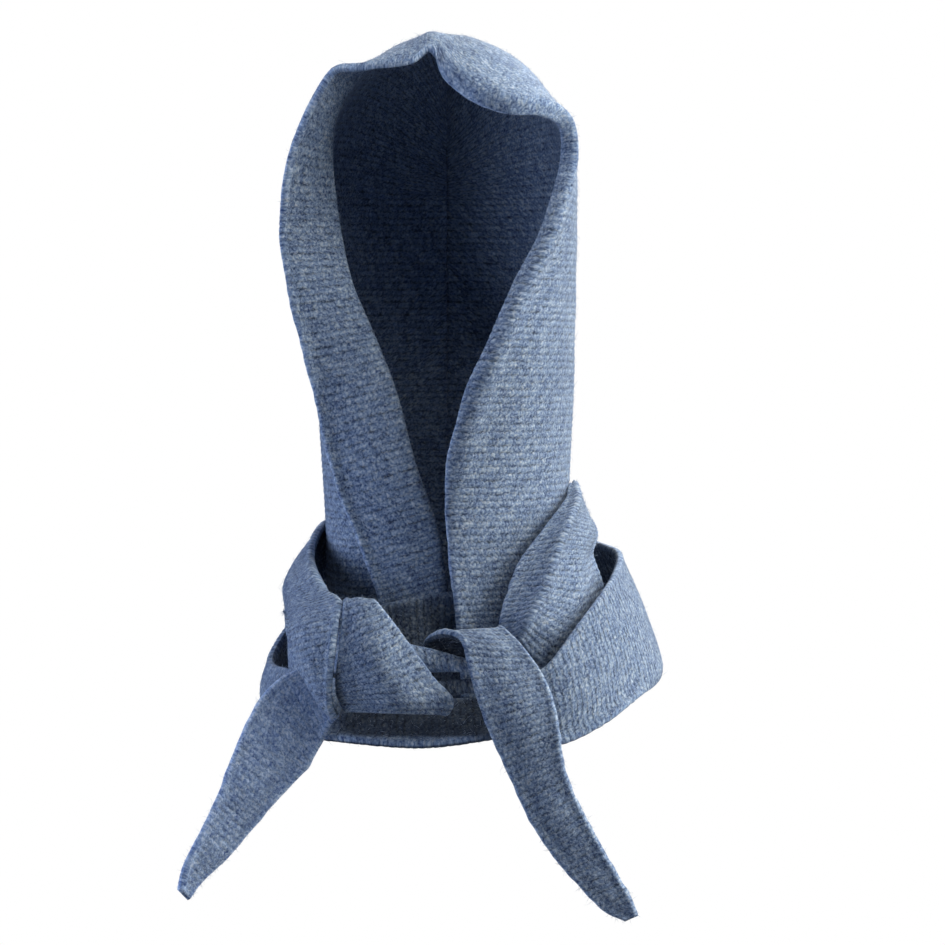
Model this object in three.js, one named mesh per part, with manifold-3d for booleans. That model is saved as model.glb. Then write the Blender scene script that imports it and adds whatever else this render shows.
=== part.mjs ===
// A knitted hooded scarf, as it sits when worn: one long strip folded over the head, seamed down the
// back, wrapped round the neck and tied in front, with its two tapering ends hanging.
// Millimetres. X runs to the right as seen from the front, Y runs backwards and Z up. The origin is the
// inside of the crown, where the hood rests on the head.
import * as THREE from 'three';
import Module from 'manifold-3d';

// Driving dimensions
const CLOTH = 4; // thickness of the felted knit
const CLEAR = 0.4; // clearance left between two layers that touch
const CROWN = { halfWidth: 92, front: 100, back: 104, rise: 112, centreY: 4, centreZ: -110 };
const SEAM_TIP_ELEVATION = 40; // degrees above the widest level at which the back seam starts
const SEAM_TIP_PROUD = 0.08; // share by which the corner at the top of the seam stands out
const REAR_PARTS = [1 / 3, 2 / 3]; // shares of the way round from the side to the back seam

// Half width, depth behind and sideways centre line of the hood below its widest level
const NECK_SECTIONS = [
  { level: -110, halfWidth: 92, back: 108, sideY: 4 },
  { level: -190, halfWidth: 91, back: 105, sideY: 6 },
  { level: -260, halfWidth: 89, back: 99, sideY: 6 },
  { level: -345, halfWidth: 86, back: 92, sideY: 5 },
  { level: -445, halfWidth: 82, back: 90, sideY: 5 },
  { level: -470, halfWidth: 81, back: 89, sideY: 5 },
];

// Courses of the hood from the crown down, by the level of their side points. The left front edge is
// turned out as a lapel from its roll line; the right front edge has a rolled selvage up to its turn.
const APEX = { edge: [-11, -45, -12], roll: [-10, -20, 2] };
const COURSES = [
  { level: 0, leftEdge: [-22, -50, -19], leftRoll: [-19, -24, -2],
    rightEdge: [2, -63, -36], rightTurn: [4, -66, -28] },
  { level: -6, leftEdge: [-38, -52, -22], leftRoll: [-34, -27, -9],
    rightEdge: [22, -78, -51], rightTurn: [25, -82, -42] },
  { level: -18, leftEdge: [-56, -52, -23], leftRoll: [-51, -27, -19],
    rightEdge: [45, -79, -57], rightTurn: [49, -83, -48] },
  { level: -38, leftEdge: [-75, -48, -23], leftRoll: [-68, -22, -35],
    rightEdge: [66, -66, -59], rightTurn: [72, -68, -51] },
  { level: -62, leftEdge: [-90, -44, -42], leftRoll: [-79, -15, -57],
    rightEdge: [79, -43, -65], rightTurn: [88, -46, -61] },
  { level: -86, leftEdge: [-105, -39, -74], leftRoll: [-82, -10, -82],
    rightEdge: [82, -37, -84], rightTurn: [91, -42, -84] },
  { level: -110, leftEdge: [-113, -38, -110], leftRoll: [-80, -8, -110],
    rightEdge: [77, -45, -106], rightTurn: [86, -52, -106] },
  { level: -142, leftEdge: [-115, -38, -142], leftRoll: [-75, -12, -142],
    rightEdge: [65, -64, -142], rightTurn: [74, -72, -142] },
  { level: -179, leftEdge: [-109, -42, -179], leftRoll: [-66, -28, -177],
    rightEdge: [47, -83, -178], rightTurn: [55, -91, -178] },
  { level: -217, leftEdge: [-99, -48, -217], leftRoll: [-50, -45, -215],
    rightEdge: [31, -97, -215], rightTurn: [38, -105, -215] },
  { level: -256, leftEdge: [-89, -53, -256], leftRoll: [-35, -66, -254],
    rightEdge: [13, -98, -254], rightTurn: [20, -106, -254] },
  { level: -300, leftEdge: [-78, -60, -300], leftRoll: [-22, -82, -300],
    rightEdge: [2, -93, -299], rightTurn: [8, -101, -299] },
  { level: -350, leftEdge: [-61, -70, -350], leftRoll: [-5, -86, -350],
    rightEdge: [1, -91, -348], rightTurn: [7, -98, -348] },
  { level: -402, leftEdge: [-44, -78, -400], leftRoll: [2, -84, -400],
    rightEdge: [7, -98, -400], rightTurn: [14, -101, -400] },
  { level: -445, leftEdge: [-36, -80, -434], leftRoll: [2, -84, -438],
    rightEdge: [10, -98, -434], rightTurn: [17, -101, -436] },
  { level: -470, leftEdge: [-34, -80, -458], leftRoll: [4, -85, -464],
    rightEdge: [11, -98, -460], rightTurn: [18, -101, -462] },
];

// Pleat from the right of the neck into the knot: the valley against the hood, the ridge, the lit flank
// and the part that goes on under the wrap
const PLEAT = [
  { valley: [91.5, -8, -318], ridge: [92.5, 2, -317], flank: [92, 18, -321], hidden: [88, 41, -328] },
  { valley: [82, -44, -331], ridge: [93, -42, -328], flank: [99, -2, -335], hidden: [99, 36, -341] },
  { valley: [67, -74, -348], ridge: [85, -76, -343], flank: [101, -34, -350], hidden: [107, 12, -354] },
  { valley: [50, -93, -369], ridge: [75, -98, -365], flank: [94, -67, -368], hidden: [103, -20, -368] },
  { valley: [42, -104, -389], ridge: [67, -113, -387], flank: [91, -90, -394], hidden: [110, -46, -391] },
  { valley: [38, -110, -405], ridge: [59, -122, -401], flank: [80, -107, -415], hidden: [100, -76, -420] },
  { valley: [36, -112, -424], ridge: [50, -124, -419], flank: [64, -118, -436], hidden: [82, -98, -446] },
];

// Wrap round the neck, from its start under the right tail, round the back, to its end behind the start
const WRAP = [
  { top: [52, -141, -444], foot: [62, -152, -486] },
  { top: [69, -139, -433], foot: [81, -150, -484] },
  { top: [91, -113, -408], foot: [107, -136, -473] },
  { top: [105, -88, -393], foot: [125, -115, -463] },
  { top: [118, -50, -379], foot: [144, -72, -457] },
  { top: [124, 5, -368], foot: [153, 2, -454] },
  { top: [114, 56, -365], foot: [139, 66, -451] },
  { top: [84, 88, -357], foot: [99, 108, -450] },
  { top: [38, 97, -353], foot: [45, 120, -450] },
  { top: [-20, 101, -362], foot: [-20, 120, -454] },
  { top: [-74, 86, -388], foot: [-80, 102, -462] },
  { top: [-110, 56, -418], foot: [-116, 64, -472] },
  { top: [-127, 15, -445], foot: [-129, 12, -480] },
  { top: [-112, -30, -448], foot: [-123, -40, -483] },
  { top: [-88, -84, -442], foot: [-102, -112, -483] },
  { top: [-60, -101, -455], foot: [-67, -134, -485] },
  { top: [-17, -104, -461], foot: [-17, -143, -487] },
  { top: [25, -106, -460], foot: [29, -141, -482] },
  { top: [46, -112, -459], foot: [50, -138, -478] },
];
const WRAP_LIP = { depth: 7, outward: 3 }; // the rolled lower rim

// Inner layer of the wrap, from the back left to behind the right panel of the hood
const INNER_BAND = [
  { top: [-63, 70, -402], foot: [-62, 69, -444] },
  { top: [-94, 40, -411], foot: [-94, 40, -452] },
  { top: [-111, 4, -420], foot: [-110, 3, -458] },
  { top: [-104, -42, -424], foot: [-102, -46, -462] },
  { top: [-74, -78, -408], foot: [-74, -84, -452] },
  { top: [-44, -89, -397], foot: [-42, -95, -452] },
  { top: [-20, -91, -391], foot: [-18, -97, -458] },
  { top: [5, -86, -388], foot: [7, -89, -465] },
  { top: [30, -76, -390], foot: [32, -79, -464] },
];

// The loop's layer where it lies on the back of the hood, by degrees round from the right side
const LOOP_BEHIND = [
  { round: 18, top: -329, foot: -384 },
  { round: 48, top: -335, foot: -392 },
  { round: 78, top: -340, foot: -398 },
  { round: 108, top: -343, foot: -400 },
  { round: 132, top: -344, foot: -400 },
];
const LOOP_FLARE = 3; // how far its lower edge stands out more than its upper edge

// Upright loop at the left, from the back of the hood down to its tuck under the knot: its outer edge
// and the front edge that stands over the knot
const LOOP = [
  { outer: [-88, 60, -396], front: [-84, 34, -345], bow: 4 },
  { outer: [-100, 44, -399], front: [-89, 0, -353], bow: 9 },
  { outer: [-107, 18, -404], front: [-90, -42, -366], bow: 12 },
  { outer: [-111, -18, -408], front: [-87, -80, -376], bow: 10 },
  { outer: [-112, -52, -408], front: [-80, -112, -386], bow: 8 },
  { outer: [-110, -86, -408], front: [-70, -137, -391], bow: 7 },
  { outer: [-106, -112, -418], front: [-71, -149, -404], bow: 7 },
  { outer: [-100, -128, -432], front: [-73, -156, -423], bow: 6 },
  { outer: [-90, -137, -447], front: [-75, -156, -442], bow: 5 },
  { outer: [-80, -143, -460], front: [-75, -153, -457], bow: 3 },
  { outer: [-73, -146, -468], front: [-72, -150, -467], bow: 0 },
];

// Broad face of the knot, from its rolled top edge down to its rolled lower edge
const CROSS = [
  { left: [-68, -124, -395], middle: [-58, -131, -394], right: [-48, -136, -396] },
  { left: [-68, -135, -391], middle: [-57, -143, -389], right: [-45, -147, -391] },
  { left: [-68, -145, -402], middle: [-52, -154, -400], right: [-35, -152, -402] },
  { left: [-70, -150, -418], middle: [-47, -162, -416], right: [-23, -155, -418] },
  { left: [-72, -149, -434], middle: [-42, -167, -432], right: [-11, -156, -434] },
  { left: [-73, -145, -447], middle: [-36, -168, -446], right: [-1, -156, -448] },
  { left: [-71, -141, -457], middle: [-32, -166, -456], right: [7, -153, -458] },
  { left: [-67, -139, -465], middle: [-31, -160, -463], right: [2, -150, -466] },
];

// Strands across the middle of the knot
const UPPER_STRAND = [
  { top: [-38, -149, -414], foot: [-34, -150, -434] },
  { top: [-22, -148, -418], foot: [-16, -149, -437] },
  { top: [-6, -145, -422], foot: [-2, -148, -437] },
  { top: [14, -143, -429], foot: [17, -148, -437] },
  { top: [30, -140, -432], foot: [32, -144, -440] },
];
const LOWER_STRAND = [
  { top: [-24, -151, -441], foot: [-20, -152, -451] },
  { top: [-4, -148, -443], foot: [0, -149, -453] },
  { top: [17, -140, -443], foot: [19, -143, -452] },
  { top: [32, -135, -449], foot: [34, -138, -457] },
];

// Right tail, from its hidden end up over the knot and down to its tip
const RIGHT_TAIL = [
  { left: [8, -139, -436], right: [53, -134, -446], bow: 0 },
  { left: [-8, -140, -428], right: [52, -134, -432], bow: 0 },
  { left: [-14, -141, -418], right: [47, -133, -415], bow: 1 },
  { left: [-4, -148, -411], right: [41, -141, -409], bow: 2 },
  { left: [10, -155, -414], right: [51, -149, -418], bow: 4 },
  { left: [15, -160, -429], right: [63, -153, -433], bow: 4 },
  { left: [20, -163, -446], right: [71, -157, -447], bow: 4 },
  { left: [26, -164, -465], right: [76, -160, -466], bow: 4 },
  { left: [33, -163, -482], right: [79, -161, -484], bow: 3 },
  { left: [43, -161, -504], right: [82, -160, -504], bow: 3 },
  { left: [54, -160, -529], right: [92, -158, -526], bow: 3 },
  { left: [70, -158, -556], right: [107, -156, -555], bow: 2 },
  { left: [90, -154, -580], right: [120, -153, -578], bow: 2 },
  { left: [106, -151, -597], right: [128, -151, -592], bow: 1 },
  { left: [122, -150, -606], right: [131, -150, -602], bow: 0 },
];

// Left tail, from behind the loop to its tip
const LEFT_TAIL = [
  { upper: [-84, -118, -437], lower: [-71, -145, -467], bow: 0 },
  { upper: [-98, -122, -437], lower: [-77, -143, -474], bow: 1 },
  { upper: [-113, -127, -444], lower: [-81, -140, -483], bow: 2 },
  { upper: [-124, -132, -455], lower: [-86, -141, -492], bow: 3 },
  { upper: [-132, -138, -468], lower: [-92, -141, -503], bow: 3 },
  { upper: [-138, -143, -481], lower: [-99, -141, -510], bow: 3 },
  { upper: [-146, -150, -501], lower: [-115, -142, -527], bow: 3 },
  { upper: [-154, -156, -522], lower: [-131, -142, -545], bow: 2 },
  { upper: [-164, -161, -543], lower: [-148, -145, -564], bow: 2 },
  { upper: [-174, -165, -564], lower: [-164, -150, -578], bow: 1 },
  { upper: [-178, -166, -582], lower: [-173, -157, -590], bow: 0 },
];

const vector = ([x, y, z]) => new THREE.Vector3(x, y, z);
const mix = (a, b, t) => a.clone().lerp(b, t);
const clamp = (value, low, high) => Math.min(Math.max(value, low), high);

// A point on the smooth curve through the knots, spaced by the square root of their distances
function curvePoint(knots, span, t) {
  const at = (i) => knots[clamp(i, 0, knots.length - 1)];
  const [p1, p2] = [at(span), at(span + 1)];
  const p0 = span > 0 ? at(span - 1) : p1.clone().multiplyScalar(2).sub(p2);
  const p3 = span + 2 < knots.length ? at(span + 2) : p2.clone().multiplyScalar(2).sub(p1);
  const gap = (a, b) => Math.max(Math.sqrt(a.distanceTo(b)), 1e-4);
  const [d0, d1, d2] = [gap(p0, p1), gap(p1, p2), gap(p2, p3)];
  const slope = (a, b, c, da, db) =>
    b.clone().sub(a).divideScalar(da)
      .sub(c.clone().sub(a).divideScalar(da + db))
      .add(c.clone().sub(b).divideScalar(db))
      .multiplyScalar(d1);
  const m1 = slope(p0, p1, p2, d0, d1);
  const m2 = slope(p1, p2, p3, d1, d2);
  const [t2, t3] = [t * t, t * t * t];
  return p1.clone().multiplyScalar(2 * t3 - 3 * t2 + 1)
    .addScaledVector(m1, t3 - 2 * t2 + t)
    .addScaledVector(p2, 3 * t2 - 2 * t3)
    .addScaledVector(m2, t3 - t2);
}

// Samples the curve with so many steps in each span
function sampleCurve(knots, steps) {
  const points = [];
  for (let span = 0; span < knots.length - 1; span += 1) {
    for (let i = 0; i < steps; i += 1) {
      points.push(curvePoint(knots, span, i / steps));
    }
  }
  points.push(knots[knots.length - 1].clone());
  return points;
}

// Smooth surface through rows of points: each column is drawn along the strip, then each row across it
function smoothGrid(rows, along, across) {
  const columns = rows[0].map((_, c) => sampleCurve(rows.map((row) => row[c]), along));
  return columns[0].map((_, r) => sampleCurve(columns.map((column) => column[r]), across));
}

// Normals of a grid from its neighbours along and across. Both halves of a seamed edge share theirs.
function gridNormals(grid, seamed) {
  const [count, width] = [grid.length, grid[0].length];
  const normals = grid.map((row, i) => row.map((_, j) => {
    const along = grid[Math.min(i + 1, count - 1)][j].clone().sub(grid[Math.max(i - 1, 0)][j]);
    const across = row[Math.min(j + 1, width - 1)].clone().sub(row[Math.max(j - 1, 0)]);
    return along.cross(across).normalize();
  }));
  if (seamed) {
    for (let i = 0; i < count; i += 1) {
      const both = normals[i][width - 2].clone().add(normals[count - 1 - i][width - 2]);
      normals[i][width - 1] = both.normalize();
    }
  }
  return normals;
}

// The same grid carried a little past its free edges
function grownGrid(grid, distance, seamed) {
  const rows = grid.map((row) => row.map((point) => point.clone()));
  const [lastRow, lastColumn] = [grid.length - 1, grid[0].length - 1];
  const push = (i, j, m, n) => {
    rows[i][j].add(grid[i][j].clone().sub(grid[m][n]).setLength(distance));
  };
  for (let i = 0; i <= lastRow; i += 1) {
    push(i, 0, i, 1);
    if (!seamed) {
      push(i, lastColumn, i, lastColumn - 1);
    }
  }
  for (let j = 0; j <= lastColumn; j += 1) {
    push(0, j, 1, j);
    push(lastRow, j, lastRow - 1, j);
  }
  return rows;
}

// A wall of cloth about a grid of middle points. A seamed grid is closed along its last column, where
// the strip's two halves are sewn edge to edge.
function clothWall(grid, { thickness = CLOTH, seamed = false } = {}) {
  const [count, width] = [grid.length, grid[0].length];
  const normals = gridNormals(grid, seamed);
  const points = [];
  const index = (i, j, face) => {
    const row = seamed && j === width - 1 ? Math.min(i, count - 1 - i) : i;
    return (row * width + j) * 2 + face;
  };
  grid.forEach((row, i) => row.forEach((point, j) => {
    for (const side of [0.5, -0.5]) {
      points.push(point.clone().addScaledVector(normals[i][j], side * thickness));
    }
  }));
  const triangles = [];
  const quad = (a, b, c, d) => {
    for (const [p, q, r] of [[a, b, c], [a, c, d]]) {
      if (p !== q && q !== r && p !== r) {
        triangles.push([p, q, r]);
      }
    }
  };
  for (let i = 0; i < count - 1; i += 1) {
    for (let j = 0; j < width - 1; j += 1) {
      quad(index(i, j, 0), index(i + 1, j, 0), index(i + 1, j + 1, 0), index(i, j + 1, 0));
      quad(index(i, j, 1), index(i, j + 1, 1), index(i + 1, j + 1, 1), index(i + 1, j, 1));
    }
  }
  const rim = (path) => {
    for (let k = 0; k < path.length - 1; k += 1) {
      const [[i, j], [m, n]] = [path[k], path[k + 1]];
      quad(index(i, j, 0), index(i, j, 1), index(m, n, 1), index(m, n, 0));
    }
  };
  const rowPath = [...Array(count).keys()];
  const columnPath = [...Array(width).keys()];
  rim(rowPath.map((i) => [i, 0]));
  rim(columnPath.map((j) => [count - 1, j]));
  if (!seamed) {
    rim([...rowPath].reverse().map((i) => [i, width - 1]));
  }
  rim([...columnPath].reverse().map((j) => [0, j]));
  return { points, triangles };
}

const wasm = await Module();
wasm.setup();

// A wall as a solid that can be cut
function solidOf({ points, triangles }) {
  const used = new Map();
  const vertProperties = [];
  const triVerts = triangles.flat().map((old) => {
    if (!used.has(old)) {
      used.set(old, used.size);
      vertProperties.push(points[old].x, points[old].y, points[old].z);
    }
    return used.get(old);
  });
  return new wasm.Manifold(new wasm.Mesh({
    numProp: 3,
    vertProperties: Float32Array.from(vertProperties),
    triVerts: Uint32Array.from(triVerts),
  }));
}

// A grid's wall, cut clear of the given neighbours' walls
function clearWall(grid, neighbours, seamed) {
  let solid = solidOf(clothWall(grid, { seamed }));
  for (const other of neighbours) {
    const grown = grownGrid(other.grid, CLEAR, other.seamed);
    const keepOut = solidOf(clothWall(grown, { seamed: other.seamed, thickness: CLOTH + 2 * CLEAR }));
    solid = solid.subtract(keepOut);
  }
  const pieces = solid.decompose();
  return pieces.reduce((best, piece) => (piece.volume() > best.volume() ? piece : best));
}

function meshOf(name, solid, material) {
  const { vertProperties, triVerts } = solid.getMesh();
  const geometry = new THREE.BufferGeometry();
  geometry.setAttribute('position', new THREE.BufferAttribute(Float32Array.from(vertProperties), 3));
  geometry.setIndex(Array.from(triVerts));
  geometry.computeVertexNormals();
  const mesh = new THREE.Mesh(geometry, material);
  mesh.name = name;
  return mesh;
}

// Half width, back depth and side line of the hood at a level below its widest
function neckSection(level) {
  const last = NECK_SECTIONS.length - 2;
  const found = NECK_SECTIONS.findIndex((section, i) => i > 0 && level >= section.level);
  const k = found < 1 ? last : found - 1;
  const [high, low] = [NECK_SECTIONS[k], NECK_SECTIONS[k + 1]];
  const t = clamp((high.level - level) / (high.level - low.level), 0, 1);
  const between = (key) => high[key] + (low[key] - high[key]) * t;
  return { halfWidth: between('halfWidth'), back: between('back'), sideY: between('sideY') };
}

// A point t of the way round from one direction to another, at some reach from their centre
function arcPoint(from, to, t, reach) {
  const angle = from.angleTo(to);
  return from.clone().normalize().multiplyScalar(Math.sin((1 - t) * angle))
    .addScaledVector(to.clone().normalize(), Math.sin(t * angle))
    .setLength(reach);
}

// Side, rear and back seam of one course of the hood, by the level of its side point
function courseBehind(hand, level) {
  if (level < CROWN.centreZ) {
    const { halfWidth, back, sideY } = neckSection(level);
    return [0, ...REAR_PARTS, 1].map((part) => {
      const turn = (part * Math.PI) / 2;
      const y = sideY + (back - sideY) * Math.sin(turn);
      return new THREE.Vector3(hand * halfWidth * Math.cos(turn), y, level);
    });
  }
  const tilt = Math.asin(clamp((level - CROWN.centreZ) / CROWN.rise, 0, 1));
  const lift = (tilt / (Math.PI / 2)) * THREE.MathUtils.degToRad(SEAM_TIP_ELEVATION);
  const side = new THREE.Vector3(hand * Math.cos(tilt), 0, Math.sin(tilt));
  const seam = new THREE.Vector3(0, Math.cos(lift), Math.sin(lift));
  const proud = SEAM_TIP_PROUD * Math.sin(tilt) ** 2;
  return [0, ...REAR_PARTS, 1].map((part) => {
    const unit = arcPoint(side, seam, part, 1 + proud * part ** 2);
    return new THREE.Vector3(
      unit.x * CROWN.halfWidth,
      CROWN.centreY + unit.y * CROWN.back,
      CROWN.centreZ + unit.z * CROWN.rise,
    );
  });
}

// Points that carry a course round the front of the hood from one place to its side point
function roundFront(from, side, level, parts) {
  const crown = level >= CROWN.centreZ;
  const scaled = (p) => new THREE.Vector3(
    p.x / CROWN.halfWidth,
    (p.y - side.y) / CROWN.front,
    crown ? (p.z - CROWN.centreZ) / CROWN.rise : 0,
  );
  const [a, b] = [scaled(from), scaled(side)];
  return parts.map((t) => {
    const unit = arcPoint(a, b, t, b.length() + (a.length() - b.length()) * (1 - t) ** 2);
    return new THREE.Vector3(
      unit.x * CROWN.halfWidth,
      unit.y * CROWN.front + side.y,
      crown ? unit.z * CROWN.rise + CROWN.centreZ : from.z + (side.z - from.z) * t,
    );
  });
}

const LAPEL_TURN = 12; // from the roll line to the cloth that has turned back
const LAPEL_BOW = 4; // fullness of the lapel between its edge and its roll line

function leftCourse(level, edge, roll) {
  const [side, ...behind] = courseBehind(-1, level);
  const [free, turn] = [vector(edge), vector(roll)];
  const lapel = mix(free, turn, 0.5);
  lapel.y -= LAPEL_BOW;
  const back = turn.clone().add(side.clone().sub(turn).setLength(LAPEL_TURN));
  const [panel] = roundFront(back, side, level, [0.55]);
  return [free, lapel, turn, back, panel, side, ...behind];
}

function rightCourse(level, edge, turn) {
  const [side, ...behind] = courseBehind(1, level);
  const fold = vector(turn);
  return [vector(edge), fold, ...roundFront(fold, side, level, [0.25, 0.5, 0.75]), side, ...behind];
}

function hoodGrid() {
  const left = COURSES.map((row) => leftCourse(row.level, row.leftEdge, row.leftRoll));
  const apex = leftCourse(CROWN.centreZ + CROWN.rise, APEX.edge, APEX.roll);
  const right = COURSES.map((row) => rightCourse(row.level, row.rightEdge, row.rightTurn));
  const grid = smoothGrid([...left.reverse(), apex, ...right], 2, 2);
  const last = grid[0].length - 1;
  for (let i = 0; i < grid.length / 2; i += 1) {
    const joined = mix(grid[i][last], grid[grid.length - 1 - i][last], 0.5);
    grid[i][last] = joined;
    grid[grid.length - 1 - i][last] = joined.clone();
  }
  return grid;
}

const WRAP_BELLY = 2; // fullness of the wrap between its two edges

// Rows across the wrap: its upper edge, a slight belly, and the lip of its rolled lower rim
function wrapGrid() {
  const rows = WRAP.map(({ top, foot }) => {
    const [high, low] = [vector(top), vector(foot)];
    const outward = new THREE.Vector3(low.x, low.y, 0).normalize();
    const belly = mix(high, low, 0.5).addScaledVector(outward, WRAP_BELLY);
    const bend = mix(high, low, 1 - WRAP_LIP.depth / high.distanceTo(low));
    return [high, belly, bend, low.addScaledVector(outward, WRAP_LIP.outward)];
  });
  return smoothGrid(rows, 2, 2);
}

// Rows across a plain stretch of the strip, full in the middle by the bow
function stripRow(first, last, bow, outward) {
  const [a, b] = [vector(first), vector(last)];
  return [a, mix(a, b, 0.5).addScaledVector(outward, bow), b];
}

// A row of the loop's layer laid on the back of the hood
function behindRow({ round, top, foot }) {
  const turn = THREE.MathUtils.degToRad(round);
  const at = (level, proud) => {
    const { halfWidth, back, sideY } = neckSection(level);
    return new THREE.Vector3(
      (halfWidth + proud) * Math.cos(turn),
      sideY + (back - sideY + proud) * Math.sin(turn),
      level,
    );
  };
  const seat = CLOTH + CLEAR;
  const middle = at((top + foot) / 2, seat + LOOP_FLARE / 2);
  return [at(foot, seat + LOOP_FLARE), middle, at(top, seat)];
}

function loopGrid() {
  const front = LOOP.map((row) => stripRow(row.outer, row.front, row.bow, LEFTWARD));
  return smoothGrid([...LOOP_BEHIND.map(behindRow), ...front], 2, 3);
}

const FORWARD = new THREE.Vector3(0, -1, 0);
const LEFTWARD = new THREE.Vector3(-1, -0.4, 0).normalize();
const BAND_BOW = 3; // fullness of the inner band between its two edges
const STRAND_BOW = 3; // the same of the two strands

// A band between an upper and a lower edge, with the same fullness all along
function bandGrid(table, bow, steps) {
  return smoothGrid(table.map(({ top, foot }) => stripRow(top, foot, bow, FORWARD)), steps, 2);
}

const pleatRows = PLEAT.map((row) => [row.valley, row.ridge, row.flank, row.hidden].map(vector));
const crossRows = CROSS.map((row) => [row.left, row.middle, row.right].map(vector));
const rightTailRows = RIGHT_TAIL.map((row) => stripRow(row.left, row.right, row.bow, FORWARD));
const leftTailRows = LEFT_TAIL.map((row) => stripRow(row.upper, row.lower, row.bow, FORWARD));

const grids = {
  hood: hoodGrid(),
  neck_fold_right: smoothGrid(pleatRows, 2, 3),
  neck_wrap: wrapGrid(),
  inner_band: bandGrid(INNER_BAND, BAND_BOW, 3),
  loop_band: loopGrid(),
  knot_cross: smoothGrid(crossRows, 2, 4),
  knot_strand_upper: bandGrid(UPPER_STRAND, STRAND_BOW, 2),
  knot_strand_lower: bandGrid(LOWER_STRAND, STRAND_BOW, 2),
  tail_right: smoothGrid(rightTailRows, 2, 3),
  tail_left: smoothGrid(leftTailRows, 2, 3),
};

// The layers that each layer is pressed against and keeps clear of
const UNDER = {
  hood: [],
  loop_band: ['hood'],
  inner_band: ['hood', 'loop_band'],
  neck_fold_right: ['hood', 'loop_band', 'inner_band'],
  neck_wrap: ['hood', 'loop_band', 'inner_band', 'neck_fold_right'],
  tail_left: ['neck_wrap', 'loop_band', 'inner_band'],
  knot_cross: ['loop_band', 'tail_left', 'neck_wrap', 'inner_band'],
  knot_strand_upper: ['knot_cross', 'neck_wrap', 'inner_band'],
  knot_strand_lower: ['knot_cross', 'neck_wrap', 'knot_strand_upper'],
  tail_right: ['knot_strand_upper', 'knot_strand_lower', 'knot_cross', 'neck_fold_right', 'neck_wrap'],
};

const KNIT = { color: '#6f86a8', roughness: 0.95, metalness: 0 };
const scarf = new THREE.Group();
for (const [name, neighbours] of Object.entries(UNDER)) {
  const others = neighbours.map((other) => ({ grid: grids[other], seamed: other === 'hood' }));
  const solid = clearWall(grids[name], others, name === 'hood');
  scarf.add(meshOf(name, solid, new THREE.MeshStandardMaterial(KNIT)));
}

export default scarf;
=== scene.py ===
"""Looks of a knitted hooded scarf: one long strip of felted wool, worn as a hood and tied in front."""
import logging
import math
from dataclasses import dataclass, field
from enum import Enum
from functools import partial
from typing import ClassVar

import bpy
import numpy as np
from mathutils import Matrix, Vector


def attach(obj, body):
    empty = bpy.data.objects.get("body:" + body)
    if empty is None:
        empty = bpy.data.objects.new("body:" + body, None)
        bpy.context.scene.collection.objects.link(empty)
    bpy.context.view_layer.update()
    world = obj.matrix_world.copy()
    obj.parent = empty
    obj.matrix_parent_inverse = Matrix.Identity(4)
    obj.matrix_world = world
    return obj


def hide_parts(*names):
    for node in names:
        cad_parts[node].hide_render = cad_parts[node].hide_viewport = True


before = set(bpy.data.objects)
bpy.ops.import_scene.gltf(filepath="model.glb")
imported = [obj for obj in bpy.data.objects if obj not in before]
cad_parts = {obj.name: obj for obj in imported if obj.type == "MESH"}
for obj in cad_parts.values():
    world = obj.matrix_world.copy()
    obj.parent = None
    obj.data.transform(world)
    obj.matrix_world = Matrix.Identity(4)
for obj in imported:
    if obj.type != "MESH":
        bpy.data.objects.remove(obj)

LOG = logging.getLogger("hooded_scarf")
Table = tuple[tuple, ...]  # a row for each section; the columns are named beside each table
Inputs = dict[str | int, object] | tuple[object, ...]

MM = 0.001  # metres in a millimetre; the sizes below are in millimetres
RIDGE_PITCH = 4.8  # two courses of garter stitch
ROWS_PER_RIDGE = 4  # mesh rows that draw one ridge
STITCH_WIDTH = 3.2
CLOTH = 4.0  # thickness of the felted knit
RIM = 2.8  # within this of a free edge the cloth rounds off
FAR = 1000.0  # from an edge that isn't there
LEAST_GAP = 1e-4  # between knots that coincide
LEAST_LENGTH = 1e-9  # of a vector without direction
BODY = "root"
UV_MAP = "strip"
WHITE = "#ffffff"


class Held(Enum):
    """How a stretch of the strip is held."""

    DRAPED = "draped"
    FOLDED = "folded"
    GATHERED = "gathered"
    HUNG = "hung"


class Facing(Enum):
    """The two faces of the cloth."""

    OUT = 1.0
    IN = -1.0


def rising(value: np.ndarray, start: float, end: float) -> np.ndarray:
    """The share, from 0 to 1, that a value has covered of the way from a start to an end."""
    return np.clip((value - start) / (end - start), 0, 1)


def within(value: np.ndarray, spans: Table) -> np.ndarray:
    """The product of the shares that a value has covered of some spans, each given by its start and end."""
    return np.prod([rising(value, start, end) for start, end in spans], axis=0)


def swell(distance: np.ndarray, place: float, width: float) -> np.ndarray:
    """A soft bell of height 1 at a place, that wide to each side."""
    return np.exp(-(((distance - place) / width) ** 2))


def unit(vectors: np.ndarray) -> np.ndarray:
    """Vectors of length one."""
    return vectors / np.linalg.norm(vectors, axis=-1, keepdims=True).clip(LEAST_LENGTH)


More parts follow.
